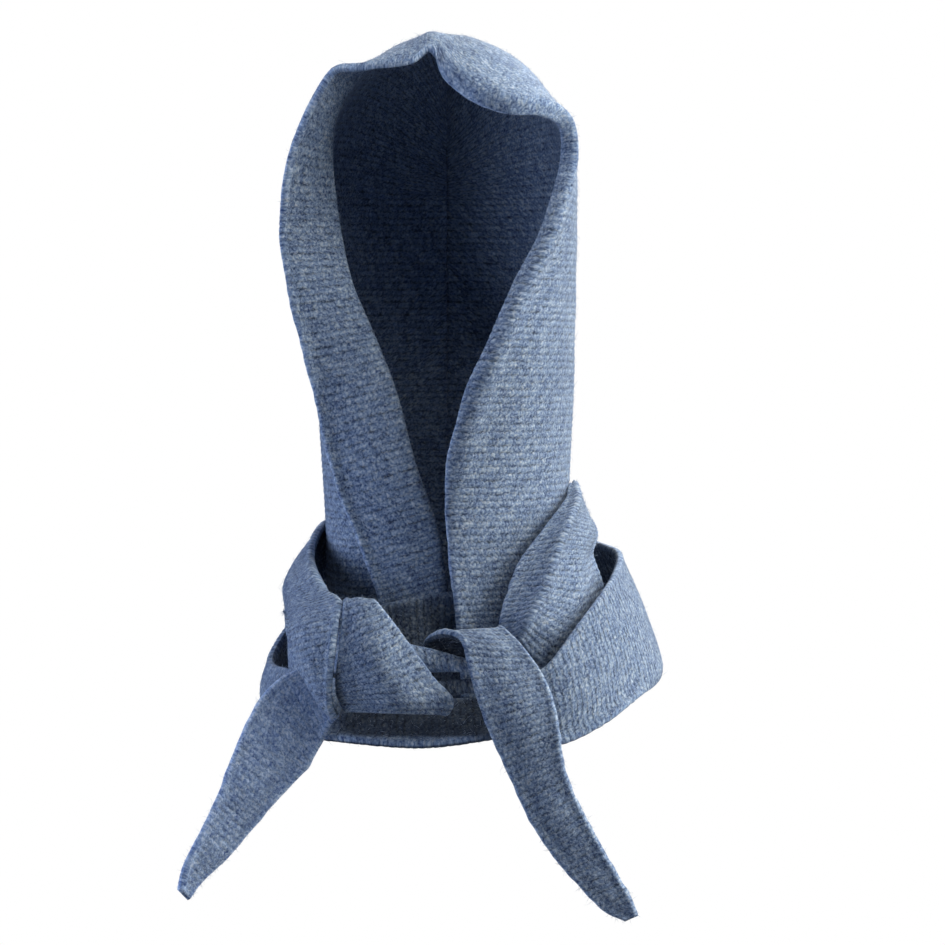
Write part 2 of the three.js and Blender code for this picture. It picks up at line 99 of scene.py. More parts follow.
def curve_at(knots: np.ndarray, places: np.ndarray) -> np.ndarray:
    """Smooth curve through knots that are spaced by the square root of their distances.

    Args:
        knots: Points, shape (knots, curves, 3).
        places: Where to sample, as span number plus share of the span.

    Returns:
        Points, shape (places, curves, 3).
    """
    first = 2 * knots[:1] - knots[1:2]
    last = 2 * knots[-1:] - knots[-2:-1]
    padded = np.concatenate([first, knots, last])
    gap = np.sqrt(np.linalg.norm(np.diff(padded, axis=0), axis=2, keepdims=True)).clip(LEAST_GAP)
    before, after = gap[:-1], gap[1:]
    slope = (
        (padded[1:-1] - padded[:-2]) / before
        - (padded[2:] - padded[:-2]) / (before + after)
        + (padded[2:] - padded[1:-1]) / after
    )
    span = np.clip(np.floor(places).astype(int), 0, len(knots) - 2)
    t = (places - span)[:, None, None]
    width = gap[1:-1][span]
    return (
        knots[span] * (2 * t**3 - 3 * t**2 + 1)
        + slope[span] * width * (t**3 - 2 * t**2 + t)
        + knots[span + 1] * (3 * t**2 - 2 * t**3)
        + slope[span + 1] * width * (t**3 - t**2)
    )


def fine_track(
    knots: np.ndarray, samples: int, columns: slice = slice(None)
) -> tuple[np.ndarray, np.ndarray]:
    """Finely spaced places along curves, and how far along they are.

    Args:
        knots: Points, shape (knots, curves, 3).
        samples: Places in each span.
        columns: The curves whose mean length counts.

    Returns:
        The places, and the distance of each from the first.
    """
    places = np.linspace(0, len(knots) - 1, (len(knots) - 1) * samples + 1)
    points = curve_at(knots, places)[:, columns]
    steps = np.linalg.norm(np.diff(points, axis=0), axis=2).mean(axis=1)
    return places, np.concatenate([[0.0], np.cumsum(steps)])


def slid(edge: np.ndarray, amounts: np.ndarray) -> np.ndarray:
    """Knots moved along their own curve, so that the courses lie askew on the same shape.

    Args:
        edge: Knots of one edge, shape (knots, 3).
        amounts: How far each moves, in spans between knots.

    Returns:
        The moved knots.
    """
    places = np.clip(np.arange(len(edge)) + amounts, 0, len(edge) - 1)
    return curve_at(edge[:, None], places)[:, 0]


def waves(
    rng: np.random.Generator,
    x: np.ndarray,
    y: np.ndarray,
    lengths: tuple[float, float],
    count: int = 7,
) -> np.ndarray:
    """Soft irregular unevenness between about -1 and 1.

    Args:
        rng: Source of the directions and phases.
        x: One coordinate.
        y: The other coordinate.
        lengths: Shortest and longest wave.
        count: How many waves are summed.

    Returns:
        The unevenness at each place.
    """
    total = np.zeros(np.broadcast(x, y).shape)
    for _ in range(count):
        turn, phase = rng.uniform(0, 2 * math.pi, 2)
        number = 2 * math.pi / rng.uniform(*lengths)
        total += np.sin(number * (x * math.cos(turn) + y * math.sin(turn)) + phase)
    return total / math.sqrt(count * 2)


FORWARD = np.array([0.0, -1.0, 0.0])
LEFTWARD = unit(np.array([-1.0, -0.4, 0.0]))


def bowed(first: tuple, last: tuple, bow: float, outward: np.ndarray) -> list[np.ndarray]:
    """A section across the strip from edge to edge, full in the middle by the bow."""
    a, b = np.array(first, float), np.array(last, float)
    return [a, (a + b) / 2 + outward * bow, b]


def linear(colour: str) -> tuple[float, float, float, float]:
    """An sRGB hex colour as linear red, green, blue and alpha."""
    parts = [int(colour[i : i + 2], 16) / 255 for i in (1, 3, 5)]
    return (*(c / 12.92 if c <= 0.04045 else ((c + 0.055) / 1.055) ** 2.4 for c in parts), 1.0)


def feed(node: bpy.types.Node, inputs: Inputs) -> None:
    """Sets or links the inputs of a node.

    Args:
        node: The node.
        inputs: What each input gets, in order or by name or number: a value, an output socket, or a node
            whose first output is meant.
    """
    for key, value in inputs.items() if isinstance(inputs, dict) else enumerate(inputs):
        source = value.outputs[0] if isinstance(value, bpy.types.Node) else value
        if isinstance(source, bpy.types.NodeSocket):
            node.id_data.links.new(source, node.inputs[key])
        else:
            node.inputs[key].default_value = source


def add_node(tree: bpy.types.NodeTree, kind: str, inputs: Inputs = (), **settings: object) -> bpy.types.Node:
    """Adds a node with its settings and links.

    Args:
        tree: The node tree.
        kind: Blender's name for the node.
        inputs: What each input gets, as feed takes it.
        **settings: The node's own properties.

    Returns:
        The node.
    """
    made = tree.nodes.new(kind)
    for key, value in settings.items():
        setattr(made, key, value)
    feed(made, inputs)
    return made


def new_material(name: str) -> tuple[bpy.types.Material, bpy.types.Node]:
    """Makes a material.

    Args:
        name: Its name.

    Returns:
        The material and its shader.
    """
    made = bpy.data.materials.new(name)
    made.use_nodes = True
    return made, made.node_tree.nodes["Principled BSDF"]


@dataclass(frozen=True)
class FeltedGarterKnit:
    """Melange wool knitted in garter stitch and lightly felted.

    The eye gets soft broken furrows between the ridges and a grain of small loops with dark ticks between
    them, both darkened with painted shade, flecks of grey, steel and navy fibre blended in the yarn, hairs
    felted on to the face, and a pale bloom at grazing angles. Shade is also painted under the knot and on
    inner faces, and light on the selvages and the crown.
    """

    name: str
    furrow_shade: float = 0.19  # painted shade: how much darker the furrows between ridges are painted
    gap_shade: float = 0.72  # painted shade: how much darker the gaps between the loops are painted
    light: str = "#b3c1cf"
    middle: str = "#748aab"
    dark: str = "#364870"
    fleck: str = "#c8c8ca"
    hair: str = "#d3dbe6"
    bloom: str = "#d5dfec"
    relief: float = 0.45  # depth of the loops and ridges in the light
    relief_strength: float = 0.9
    painted_shade_darkness: float = 0.76  # painted shade: how much darker the wool is painted where the knot covers it
    selvage_highlight: float = 1.3  # painted highlight: how much paler the selvages are painted, where their rounded edges catch the light
    crown_painted_light: float = 1.2  # painted light: how much paler the crown is painted, where it faces the light from above
    loop_light: float = 0.17  # how much the loops differ from each other
    patch_light: float = 0.08  # how much large patches differ
    yarn_light: float = 0.8  # how much the shades in the yarn differ
    tone: float = -0.015  # of the whole cloth
    tones: tuple[float, float, float] = (0.28, 0.52, 0.78)  # where the blend is dark, middle and light
    ridge_ticks: float = 0.25  # how much of the ticks shows on the ridges
    wander: float = 0.5  # how far the courses wander, in ridges
    roughness: tuple[float, float] = (0.82, 0.97)  # on the loops and between them
    sheen: tuple[float, float] = (0.22, 0.03)  # of the wool, and where shade is painted, turned down there so the painted shade stays dark
    sheen_roughness: float = 0.5
    specular: float = 0.2
    wool_ior: float = 1.54

    MARKS: ClassVar[tuple[str, ...]] = ("fulled", "selvage", "sheltered")
    GRAINS: ClassVar[dict[str, tuple[float, float, float, float]]] = {  # width, length, detail, distortion
        "wander": (8.0, 22.0, 1.0, 0.0),  # of the courses
        "melange": (1.8, 1.6, 1.6, 0.6),  # shades in the yarn; single fibres are too fine to show
        "blotch": (3.4, 2.9, 2.0, 0.0),  # grey flecks
        "clumps": (7.0, 5.5, 1.0, 0.0),  # wool that is felted more or less
        "patches": (55.0, 40.0, 2.0, 0.0),
        "hairs_across": (5.5, 4.0, 1.0, 1.6),  # hairs, drawn wider than real ones, which are too fine to show
        "hairs_along": (3.4, 6.5, 1.0, 1.6),
    }
    HEIGHTS: ClassVar[dict[str, float]] = {"loop": 0.5, "crest": 0.22, "melange": 0.28, "hair": 0.1}
    LOOP_SCATTER: ClassVar[float] = 0.5  # how irregular the lattice of loops is

    def eased(self) -> dict[str, tuple[str, float, float, float, float]]:
        """The values that the finish eases from one end of a range to the other.

        Returns:
            By name: what is read, the start and end of the range there, and the value at both.
        """
        return {
            "furrow_line": ("crest", 0.0, 0.65, 1.0, 0.0),
            "unfelted": ("fulled", 0.0, 1.0, 1.0, 0.2),
            "loop": ("reach", 0.1, 0.7, 1.0, 0.0),
            "gap": ("reach", 0.32, 0.6, 0.0, 1.0),
            "hair": ("hair_line", 0.0, 0.022, 1.0, 0.0),
            "hair_shown": ("melange", 0.35, 0.65, 0.05, 0.4),
            "grey": ("blotch", 0.52, 0.68, 0.0, 0.4),
            "grey_shown": ("blend", 0.5, 0.75, 0.0, 1.0),
            "clump_ticks": ("clumps", 0.35, 0.62, 1.0, 0.45),
            "selvage_ticks": ("selvage", 0.0, 1.0, 1.0, 0.4),
            "clump_shade": ("clumps", 0.3, 0.7, 0.92, 1.08),
            # painted highlight along the selvages
            "painted_selvage_highlight": ("selvage", 0.0, 1.0, 1.0, self.selvage_highlight),
            # painted light on the crown
            "painted_crown_light": ("fulled", 0.0, 1.0, 1.0, self.crown_painted_light),
            # painted shade: the colour is darker under the knot and on inner faces in hollows
            "depth": ("sheltered", 0.0, 1.0, 1.0, 1 - self.painted_shade_darkness),
            "roughness": ("loop", 0.0, 1.0, self.roughness[1], self.roughness[0]),
            "sheen": ("sheltered", 0.0, 1.0, *self.sheen),
        }

    def readings(self, tree: bpy.types.NodeTree) -> dict[str, object]:
        """Everything that the finish reads from the mesh and its patterns.

        Args:
            tree: The material's node tree.

        Returns:
            Nodes and sockets by name.
        """
        add, maths = partial(add_node, tree), partial(add_node, tree, "ShaderNodeMath")
        strip = add("ShaderNodeUVMap", uv_map=UV_MAP)
        read = {mark: add("ShaderNodeAttribute", attribute_name=mark).outputs["Fac"] for mark in self.MARKS}
        for name, (width, length, detail, distortion) in self.GRAINS.items():
            per_metre = (1 / (width * MM), 1 / (length * MM), 0.0)
            place = add("ShaderNodeVectorMath", (strip, per_metre), operation="MULTIPLY")
            settings = {"Vector": place, "Scale": 1.0, "Detail": detail, "Distortion": distortion}
            read[name] = add("ShaderNodeTexNoise", settings)

        across, along, _ = add("ShaderNodeSeparateXYZ", (strip,)).outputs
        wander = maths((read["wander"], self.wander, -self.wander / 2), operation="MULTIPLY_ADD")
        ridges = maths((along, 1 / (RIDGE_PITCH * MM), wander), operation="MULTIPLY_ADD")
        read["crest"] = maths((maths((ridges, 0.5), operation="PINGPONG"), 2.0), operation="MULTIPLY")
        staggered = maths((maths((ridges,), operation="FLOOR"), 0.5), operation="MULTIPLY")
        wale = maths((across, 1 / (STITCH_WIDTH * MM), staggered), operation="MULTIPLY_ADD")
        lattice = add("ShaderNodeCombineXYZ", (wale, ridges))
        shape = {"Vector": lattice, "Scale": 1.0, "Randomness": self.LOOP_SCATTER}
        loops = add("ShaderNodeTexVoronoi", shape, voronoi_dimensions="2D")
        read["reach"] = loops.outputs["Distance"]
        read["own"] = add("ShaderNodeSeparateColor", (loops.outputs["Color"],))

        read["blend"] = self.tone
        shades = {"melange": self.yarn_light, "own": self.loop_light, "patches": self.patch_light}
        for part, share in shades.items():
            read["blend"] = maths((read[part], share, read["blend"]), operation="MULTIPLY_ADD")
        lines = []
        for name in ("hairs_across", "hairs_along"):
            middle = maths((read[name], 0.5), operation="SUBTRACT")
            lines.append(maths((middle,), operation="ABSOLUTE"))
        read["hair_line"] = maths(tuple(lines), operation="MINIMUM")
        for name, (source, *span) in self.eased().items():
            read[name] = add("ShaderNodeMapRange", (read[source], *span), interpolation_type="SMOOTHSTEP")
        read["furrow_shade"] = maths((read["furrow_line"], read["unfelted"]), operation="MULTIPLY")
        return read

    def colour(self, tree: bpy.types.NodeTree, read: dict[str, object]) -> bpy.types.Node:
        """The wool's colour: blended yarn with painted shade between the loops and in the furrows, hairs,
        painted light on the selvages and the crown, and painted shade under the knot.

        Args:
            tree: The material's node tree.
            read: What readings gives.

        Returns:
            The node whose first output is the colour.
        """
        add, maths = partial(add_node, tree), partial(add_node, tree, "ShaderNodeMath")
        ramp = add("ShaderNodeValToRGB", (read["blend"],))
        stops = ramp.color_ramp.elements
        stops[0].position, stops[0].color = self.tones[0], linear(self.dark)
        stops[1].position, stops[1].color = self.tones[2], linear(self.light)
        stops.new(self.tones[1]).color = linear(self.middle)
        greyness = maths((read["grey"], read["grey_shown"]), operation="MULTIPLY")
        greyed = add("ShaderNodeMix", {0: greyness, 6: ramp, 7: linear(self.fleck)}, data_type="RGBA")

        # painted shade in the gaps between the loops, most in the furrows
        ticks = maths((read["furrow_shade"], 1 - self.ridge_ticks, self.ridge_ticks), operation="MULTIPLY_ADD")
        for factor in (read["gap"], read["clump_ticks"], read["selvage_ticks"]):
            ticks = maths((ticks, factor), operation="MULTIPLY")
        shade = maths((ticks, -self.gap_shade, 1.0), operation="MULTIPLY_ADD")
        # painted shade in the furrows between the ridges
        ridge_shade = maths((read["furrow_shade"], -self.furrow_shade, 1.0), operation="MULTIPLY_ADD")
        for factor in (read["clump_shade"], read["painted_selvage_highlight"], read["painted_crown_light"], ridge_shade):
            shade = maths((shade, factor), operation="MULTIPLY")
        shaded = add("ShaderNodeVectorMath", {0: greyed.outputs[2], "Scale": shade}, operation="SCALE")
        hairs = maths((read["hair"], read["hair_shown"]), operation="MULTIPLY")
        haired = add("ShaderNodeMix", {0: hairs, 6: shaded, 7: linear(self.hair)}, data_type="RGBA")
        # the painted shade darkens the finished colour
        return add("ShaderNodeVectorMath", {0: haired.outputs[2], "Scale": read["depth"]}, operation="SCALE")

    def material(self) -> bpy.types.Material:
        """The finish as a material.

        Returns:
            The material, for a mesh with the marks and with its places along the strip as texture places.
        """
        made, shader = new_material(self.name)
        tree = made.node_tree
        read = self.readings(tree)
        height = 0.0
        for part, share in self.HEIGHTS.items():
            height = add_node(tree, "ShaderNodeMath", (read[part], share, height), operation="MULTIPLY_ADD")
        bump = add_node(tree, "ShaderNodeBump", {
            "Strength": self.relief_strength, "Distance": self.relief * MM, "Height": height,
        })
        feed(shader, {
            "Base Color": self.colour(tree, read),
            "Normal": bump,
            "Roughness": read["roughness"],
            "IOR": self.wool_ior,
            "Specular IOR Level": self.specular,
            "Sheen Weight": read["sheen"],
            "Sheen Roughness": self.sheen_roughness,
            "Sheen Tint": linear(self.bloom),
        })
        return made


@dataclass(frozen=True)
class LooseWoolFibre:
    """Single wool fibres that felting has worked out of the yarn: pale, matt and half see-through in bulk."""

    name: str
    light: str = "#b9c8de"
    dark: str = "#7f92b2"
    shades: float = 170.0  # changes of shade in a metre, one about every 6 mm
    tones: tuple[float, float] = (0.35, 0.65)  # where the shade is dark and light
    roughness: float = 0.9
    specular: float = 0.2
    sheen: float = 0.2

    def material(self) -> bpy.types.Material:
        """The finish as a material.

        Returns:
            The material.
        """
        made, shader = new_material(self.name)
        add = partial(add_node, made.node_tree)
        place = add("ShaderNodeTexCoord").outputs["Object"]
        tone = add("ShaderNodeTexNoise", {"Vector": place, "Scale": self.shades, "Detail": 1.0})
        ramp = add("ShaderNodeValToRGB", (tone,))
        stops = ramp.color_ramp.elements
        for stop, place, colour in zip(stops, self.tones, (self.dark, self.light)):
            stop.position, stop.color = place, linear(colour)
        feed(shader, {
            "Base Color": ramp,
            "Roughness": self.roughness,
            "Specular IOR Level": self.specular,
            "Sheen Weight": self.sheen,
        })
        return made


def mesh_object(
    name: str,
    points: np.ndarray,
    polygons: np.ndarray,
    corners_uv: np.ndarray | None = None,
    marks: dict[str, np.ndarray] | None = None,
) -> bpy.types.Object:
    """A smooth mesh piece from points in millimetres.

    Args:
        name: The piece's name.
        points: Shape (points, 3).
        polygons: Point numbers, shape (faces, corners of each).
        corners_uv: Texture place of each corner, shape (faces x corners, 2).
        marks: Named shares from 0 to 1 at each point, for the material.

    Returns:
        The object, linked to the scene.
    """
    used, numbers = np.unique(polygons, return_inverse=True)
    mesh = bpy.data.meshes.new(name)
    faces, sides = polygons.shape
    mesh.vertices.add(len(used))
    mesh.vertices.foreach_set("co", (points[used] * MM).astype(np.float32).ravel())
    mesh.loops.add(faces * sides)
    mesh.loops.foreach_set("vertex_index", numbers.astype(np.int32).ravel())
    mesh.polygons.add(faces)
    mesh.polygons.foreach_set("loop_start", np.arange(0, faces * sides, sides, dtype=np.int32))
    mesh.polygons.foreach_set("use_smooth", np.ones(faces, bool))
    if corners_uv is not None:
        layer = mesh.uv_layers.new(name=UV_MAP)
        layer.data.foreach_set("uv", corners_uv.astype(np.float32).ravel())
    for mark, shares in (marks or {}).items():
        mesh.attributes.new(mark, "FLOAT", "POINT").data.foreach_set("value", shares[used].astype(np.float32))
    mesh.update()
    mesh.validate()
    piece = bpy.data.objects.new(name, mesh)
    bpy.context.scene.collection.objects.link(piece)
    return piece


@dataclass(frozen=True)
class Cut:
    """One stretch of the strip: its piece, the solid that it replaces, and how it is cut and held."""

    name: str
    node: str
    flat: tuple[float, float]  # width and length
    area: float  # square metres
    held: Held
    rests_on: tuple[str, ...]


@dataclass(frozen=True)
class KnotShade:
    """Where shade is painted on a layer under the knot."""

    half_width: float = 0.0  # to each side of the knot's middle
    depth: float = 0.0  # how far forward it starts
    foot: float = 0.0  # the level where it ends
    share: float = 0.0

    MIDDLE: ClassVar[float] = -10.0
    FADES: ClassVar[tuple[float, float, float]] = (25.0, 14.0, 3.0)  # aside, forward, up

    def over(self, points: np.ndarray) -> np.ndarray:
        """How much shade is painted at each point.

        Args:
            points: Shape (rows, columns, 3).

        Returns:
            Shares from 0 to 1.
        """
        x, y, z = np.moveaxis(points, -1, 0)
        aside, forward, up = self.FADES
        beside = rising(np.abs(x - self.MIDDLE), self.half_width, self.half_width - aside)
        before = rising(-y, self.depth, self.depth + forward)
        return self.share * beside * before * rising(z, self.foot, self.foot + up)


@dataclass
class Distances:
    """How far the points of a layer lie along the strip and from its edges, each of shape (rows, columns)."""

    across: np.ndarray  # from the middle of the strip, or from the free edge of a seamed layer
    along: np.ndarray
    side: np.ndarray  # from the nearer free edge
    last: np.ndarray  # from the last free edge
    edge: np.ndarray  # from the nearest edge or end
    seam: np.ndarray  # from the last column


@dataclass
class Surface:
    """The cloth's middle surface and its two faces, sampled row by row.

    Each mark holds a share from 0 to 1 at every point, first for the outer and then for the inner face.
    """

    normals: np.ndarray
    at: Distances
    marks: dict[str, np.ndarray]
    faces: dict[Facing, np.ndarray]


@dataclass
class ClothLayer:
    """One layer of the long strip, between the places where it goes under other layers."""

    cut: Cut
    finish: FeltedGarterKnit = FeltedGarterKnit("felted_garter_knit")
    seed: int = 1
    cell: float = 3.2  # mesh spacing across the strip
    ridge_depth: float = 0.22
    bead: float = 1.25  # how much thicker the felted selvages are on each face
    uneven: float = 0.8  # soft hills and hollows of the worn cloth
    curl: float = 0.5  # how far the selvages curl outwards
    waver: float = 0.0  # how far the free edges wander
    roll: float = 0.0  # how far the last edge turns outwards, inwards if negative
    knot_shade: KnotShade = KnotShade()
    inner_shade: float = 0.0  # how much shade is painted on the inner face
    seamed: bool = False
    guide: tuple[int, int] | None = None  # control columns along which the courses are counted, or all
    made: Surface | None = field(default=None, init=False)

    RIDGE: ClassVar[tuple[float, ...]] = (-1.0, 0.2, 0.55, 0.2)  # one ridge from furrow to furrow
    SELVAGE: ClassVar[tuple[float, ...]] = (0.0, 0.35, 1.1, 2.2, 3.8, 6.2)  # mesh columns at a free edge
    SEAM: ClassVar[tuple[float, ...]] = (0.0, 0.8, 2.0, 3.8)  # mesh columns beside the back seam
    EDGE_SHARE: ClassVar[float] = 0.4  # the part of the width that those columns may take
    SAMPLES: ClassVar[tuple[int, int]] = (24, 16)  # in a span along and across, to space the mesh evenly
    HILLS: ClassVar[tuple[float, float]] = (38.0, 120.0)  # shortest and longest
    HILLS_FADE: ClassVar[float] = 12.0  # from an edge
    CURL_WIDTH: ClassVar[float] = 3.5
    RAGGED: ClassVar[tuple] = (0.35, 3.0, (7.0, 22.0))  # height at the edge, fade, shortest and longest
    WAVER: ClassVar[tuple] = (9.0, (24.0, 60.0))  # fade, shortest and longest
    BEAD: ClassVar[tuple[float, float]] = (2.7, 2.0)  # distance from the free edge, width
    SEAM_BEADS: ClassVar[Table] = ((0.7, 2.6, 1.4), (-1.1, 0.0, 1.0))  # height, distance from the seam, width
    HIGHLIGHT_WIDTH: ClassVar[float] = 3.2  # of the painted highlight along the selvages
    INNER_FULLED_AND_LIT: ClassVar[float] = 0.5  # how fulled the inner face is, and how much light is painted on it, beside the outer one
    FULLED_RIDGE: ClassVar[float] = 0.2  # what felting leaves of the ridges
    LOOP_HEIGHT: ClassVar[float] = 0.07

    def rows(self) -> np.ndarray:
        """Control points of the layer, shape (rows along, columns across, 3)."""
        raise NotImplementedError

    def columns(self, width: float) -> np.ndarray:
        """Where the mesh has columns.

        Args:
            width: Width of the strip.

        Returns:
            Distances across, denser at the free edges and the seam.
        """
        near, far = (
            [place for place in columns if place < width * self.EDGE_SHARE]
            for columns in (self.SELVAGE, self.SEAM if self.seamed else self.SELVAGE)
        )
        start, stop = near[-1], width - far[-1]
        count = max(int(round((stop - start) / self.cell)), 2)
        middle = np.linspace(start, stop, count + 1)[1:-1]
        return np.concatenate([near, middle, width - np.array(far[::-1])])

    def middle(self) -> np.ndarray:
        """The plain middle surface, in even rows and columns.

        Returns:
            Points, shape (rows, columns, 3).
        """
        rows = self.rows()
        fine, track = fine_track(rows, self.SAMPLES[0], slice(*(self.guide or (None, None))))
        ridges = max(int(round(track[-1] / RIDGE_PITCH)), 2)
        places = np.interp(np.linspace(0, track[-1], ridges * ROWS_PER_RIDGE + 1), track, fine)
        columns = curve_at(rows, places).transpose(1, 0, 2)
        fine, spread = fine_track(columns, self.SAMPLES[1])
        return curve_at(columns, np.interp(self.columns(spread[-1]), spread, fine)).transpose(1, 0, 2)

    def measured(self, points: np.ndarray) -> Distances:
        """Measures where each point lies on the strip.

        Args:
            points: The plain middle surface.

        Returns:
            The distances.
        """
        steps = np.linalg.norm(np.diff(points, axis=1), axis=2)
        first = np.concatenate([np.zeros((len(points), 1)), np.cumsum(steps, axis=1)], axis=1)
        seam = first[:, -1:] - first
        last = np.full_like(first, FAR) if self.seamed else seam
        across = first if self.seamed else first - first[:, -1:] / 2
        place = np.arange(len(points)) * (RIDGE_PITCH / ROWS_PER_RIDGE)
        along = np.repeat(place[:, None], points.shape[1], axis=1)
        side = np.minimum(first, last)
        edge = np.minimum(side, np.minimum(along, along[-1, 0] - along))
        return Distances(across, along, side, last, edge, seam)

    def normals(self, points: np.ndarray) -> np.ndarray:
        """Normals of the middle surface; both halves of a seamed edge share theirs.

        Args:
            points: The middle surface.

        Returns:
            Unit vectors, shape (rows, columns, 3).
        """
        made = unit(np.cross(np.gradient(points, axis=0), np.gradient(points, axis=1)))
        if self.seamed:
            made[:, -1] = unit(made[:, -2] + made[::-1, -2])
        return made

    def joined(self, points: np.ndarray) -> np.ndarray:
        """Brings both halves of a seamed edge together.

        Args:
            points: Any surface of the layer, which is changed in place.

        Returns:
            The same points.
        """
        if self.seamed:
            points[:, -1] = (points[:, -1] + points[::-1, -1]) / 2
        return points

    def rolled(self, points: np.ndarray) -> np.ndarray:
        """Share of the last edge's roll at each point."""
        return np.ones(points.shape[:2])

    def folds(self, points: np.ndarray, side: np.ndarray) -> np.ndarray:
        """Height of the soft folds that run along the strip, by the distance from the free edge."""
        return np.zeros_like(side)

    def curled(self, points: np.ndarray) -> np.ndarray:
        """How far the selvages curl along the normals at each point."""
        return np.full(points.shape[:2], self.curl)

    def fulled(self, points: np.ndarray) -> np.ndarray:
        """How far wear and felting have closed the ridges at each point, from 0 to 1; the crown's painted
        light follows the same share.
        """
        return np.zeros(points.shape[:2])

    def inner_shade_at(self, points: np.ndarray) -> np.ndarray:
        """How much shade is painted on the inner face at each point, from 0 to 1."""
        return np.full(points.shape[:2], self.inner_shade)

    def worn(self, points: np.ndarray, at: Distances, rng: np.random.Generator) -> np.ndarray:
        """Gives the plain surface its hills, folds, curled and rolled edges, and ragged selvages.

        Args:
            points: The plain middle surface.
            at: Where each point lies on the strip.
            rng: Source of the unevenness.

        Returns:
            The middle surface of the worn cloth.
        """
        settled = self.uneven * rising(at.edge, 0, self.HILLS_FADE)
        hills = settled * waves(rng, at.along, at.across, self.HILLS)
        lift = self.curled(points) * swell(at.side, 0, self.CURL_WIDTH) + hills + self.folds(points, at.side)
        if self.roll:
            turned = 1 - np.sqrt(1 - (1 - rising(at.last, 0, abs(self.roll))) ** 2)
            lift += self.roll * self.rolled(points) * turned
        points = points + self.normals(points) * lift[..., None]
        sideways = unit(np.gradient(points, axis=1))
        even = np.zeros_like(at.side)
        ragged = even
        for height, fade, lengths in (self.RAGGED, (self.waver, *self.WAVER)):
            if height:
                ragged = ragged + height * np.exp(-at.side / fade) * waves(rng, at.along, even, lengths)
        return self.joined(points + sideways * ragged[..., None])

    def marked(self, points: np.ndarray, normals: np.ndarray, at: Distances) -> dict[str, np.ndarray]:
        """The marks of each face for the finish: fulling with painted crown light, painted selvage highlight,
        painted shade.

        Args:
            points: The middle surface.
            normals: Its normals.
            at: Where each point lies on the strip.

        Returns:
            The marks of a surface.
        """
        fulled, sheltered = self.fulled(points), self.knot_shade.over(points)
        shares = np.array([sheltered, np.maximum(sheltered, self.inner_shade_at(points))])
        outwards = np.mean(np.sum(normals[..., :2] * points[..., :2], axis=-1)) > 0
        return {
            "fulled": np.array([fulled, fulled * self.INNER_FULLED_AND_LIT]),
            "selvage": swell(np.array([at.side, at.side]), 0, self.HIGHLIGHT_WIDTH),
            "sheltered": shares if outwards else shares[::-1],
        }

    def surface(self) -> Surface:
        """The finely sampled layer with its marks and both its faces.

        Returns:
            The surface, whose furrows on one face lie behind the ridges of the other.
        """
        rng = np.random.default_rng(self.seed)
        points = self.middle()
        at = self.measured(points)
        points = self.worn(points, at, rng)
        normals = self.normals(points)
        marks = self.marked(points, normals, at)
        rounded = np.sqrt(1 - (1 - rising(at.edge, 0, RIM)) ** 2)
        half = CLOTH / 2 + self.bead * swell(at.side, *self.BEAD)
        if self.seamed:
            for height, place, width in self.SEAM_BEADS:
                half += height * swell(at.seam, place, width)
        faces = {}
        for facing, shift in ((Facing.OUT, 0), (Facing.IN, ROWS_PER_RIDGE // 2)):
            phase = (np.arange(len(points)) + shift) % ROWS_PER_RIDGE
            left = 1 - (1 - self.FULLED_RIDGE) * marks["fulled"][0]
            ridge = self.ridge_depth * np.array(self.RIDGE)[phase][:, None] * left
            loops = rng.normal(0, self.LOOP_HEIGHT, at.along.shape)
            out = facing.value * (half + ridge + loops) * rounded
            faces[facing] = self.joined(points + normals * out[..., None])
        return Surface(normals, at, marks, faces)

    def build(self) -> bpy.types.Object:
        """Builds the layer as one closed mesh.

        Returns:
            The piece, with its marks and its places along the strip.
        """
        self.made = self.surface()
        at = self.made.at
        count, width = at.along.shape
        outer = np.arange(count * width).reshape(count, width)
        inner = outer + count * width
        inner[0], inner[-1], inner[:, 0] = outer[0], outer[-1], outer[:, 0]
        if self.seamed:
            half = count // 2
            for numbers in (outer, inner):
                numbers[count - half :, -1] = numbers[:half, -1][::-1]
        else:
            inner[:, -1] = outer[:, -1]
        i, j = (a.ravel() for a in np.meshgrid(np.arange(count - 1), np.arange(width - 1), indexing="ij"))
        corners = [(i, j), (i + 1, j), (i + 1, j + 1), (i, j + 1)]
        turned = [corners[0], *corners[:0:-1]]
        uv = np.stack([at.across, at.along], axis=2) * MM
        polygons, corners_uv = (
            np.concatenate([np.stack([grid[c] for c in order], axis=1) for grid, order in grids])
            for grids in (((outer, corners), (inner, turned)), ((uv, corners), (uv, turned)))
        )
        points = np.concatenate([self.made.faces[facing].reshape(-1, 3) for facing in Facing])
        marks = {mark: shares.ravel() for mark, shares in self.made.marks.items()}
        return mesh_object(self.cut.name, points, polygons, corners_uv.reshape(-1, 2), marks)

    def dress(self, piece: bpy.types.Object, fibres: bpy.types.Object | None = None) -> None:
        """Gives the layer its finish, hangs it on the body and hides the solid that it replaces.

        Args:
            piece: The built layer.
            fibres: The loose fibres on it, if they are a piece of their own; not used.
        """
        cut = self.cut
        piece.data.materials.append(self.finish.material())
        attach(piece, BODY)
        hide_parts(cut.node)


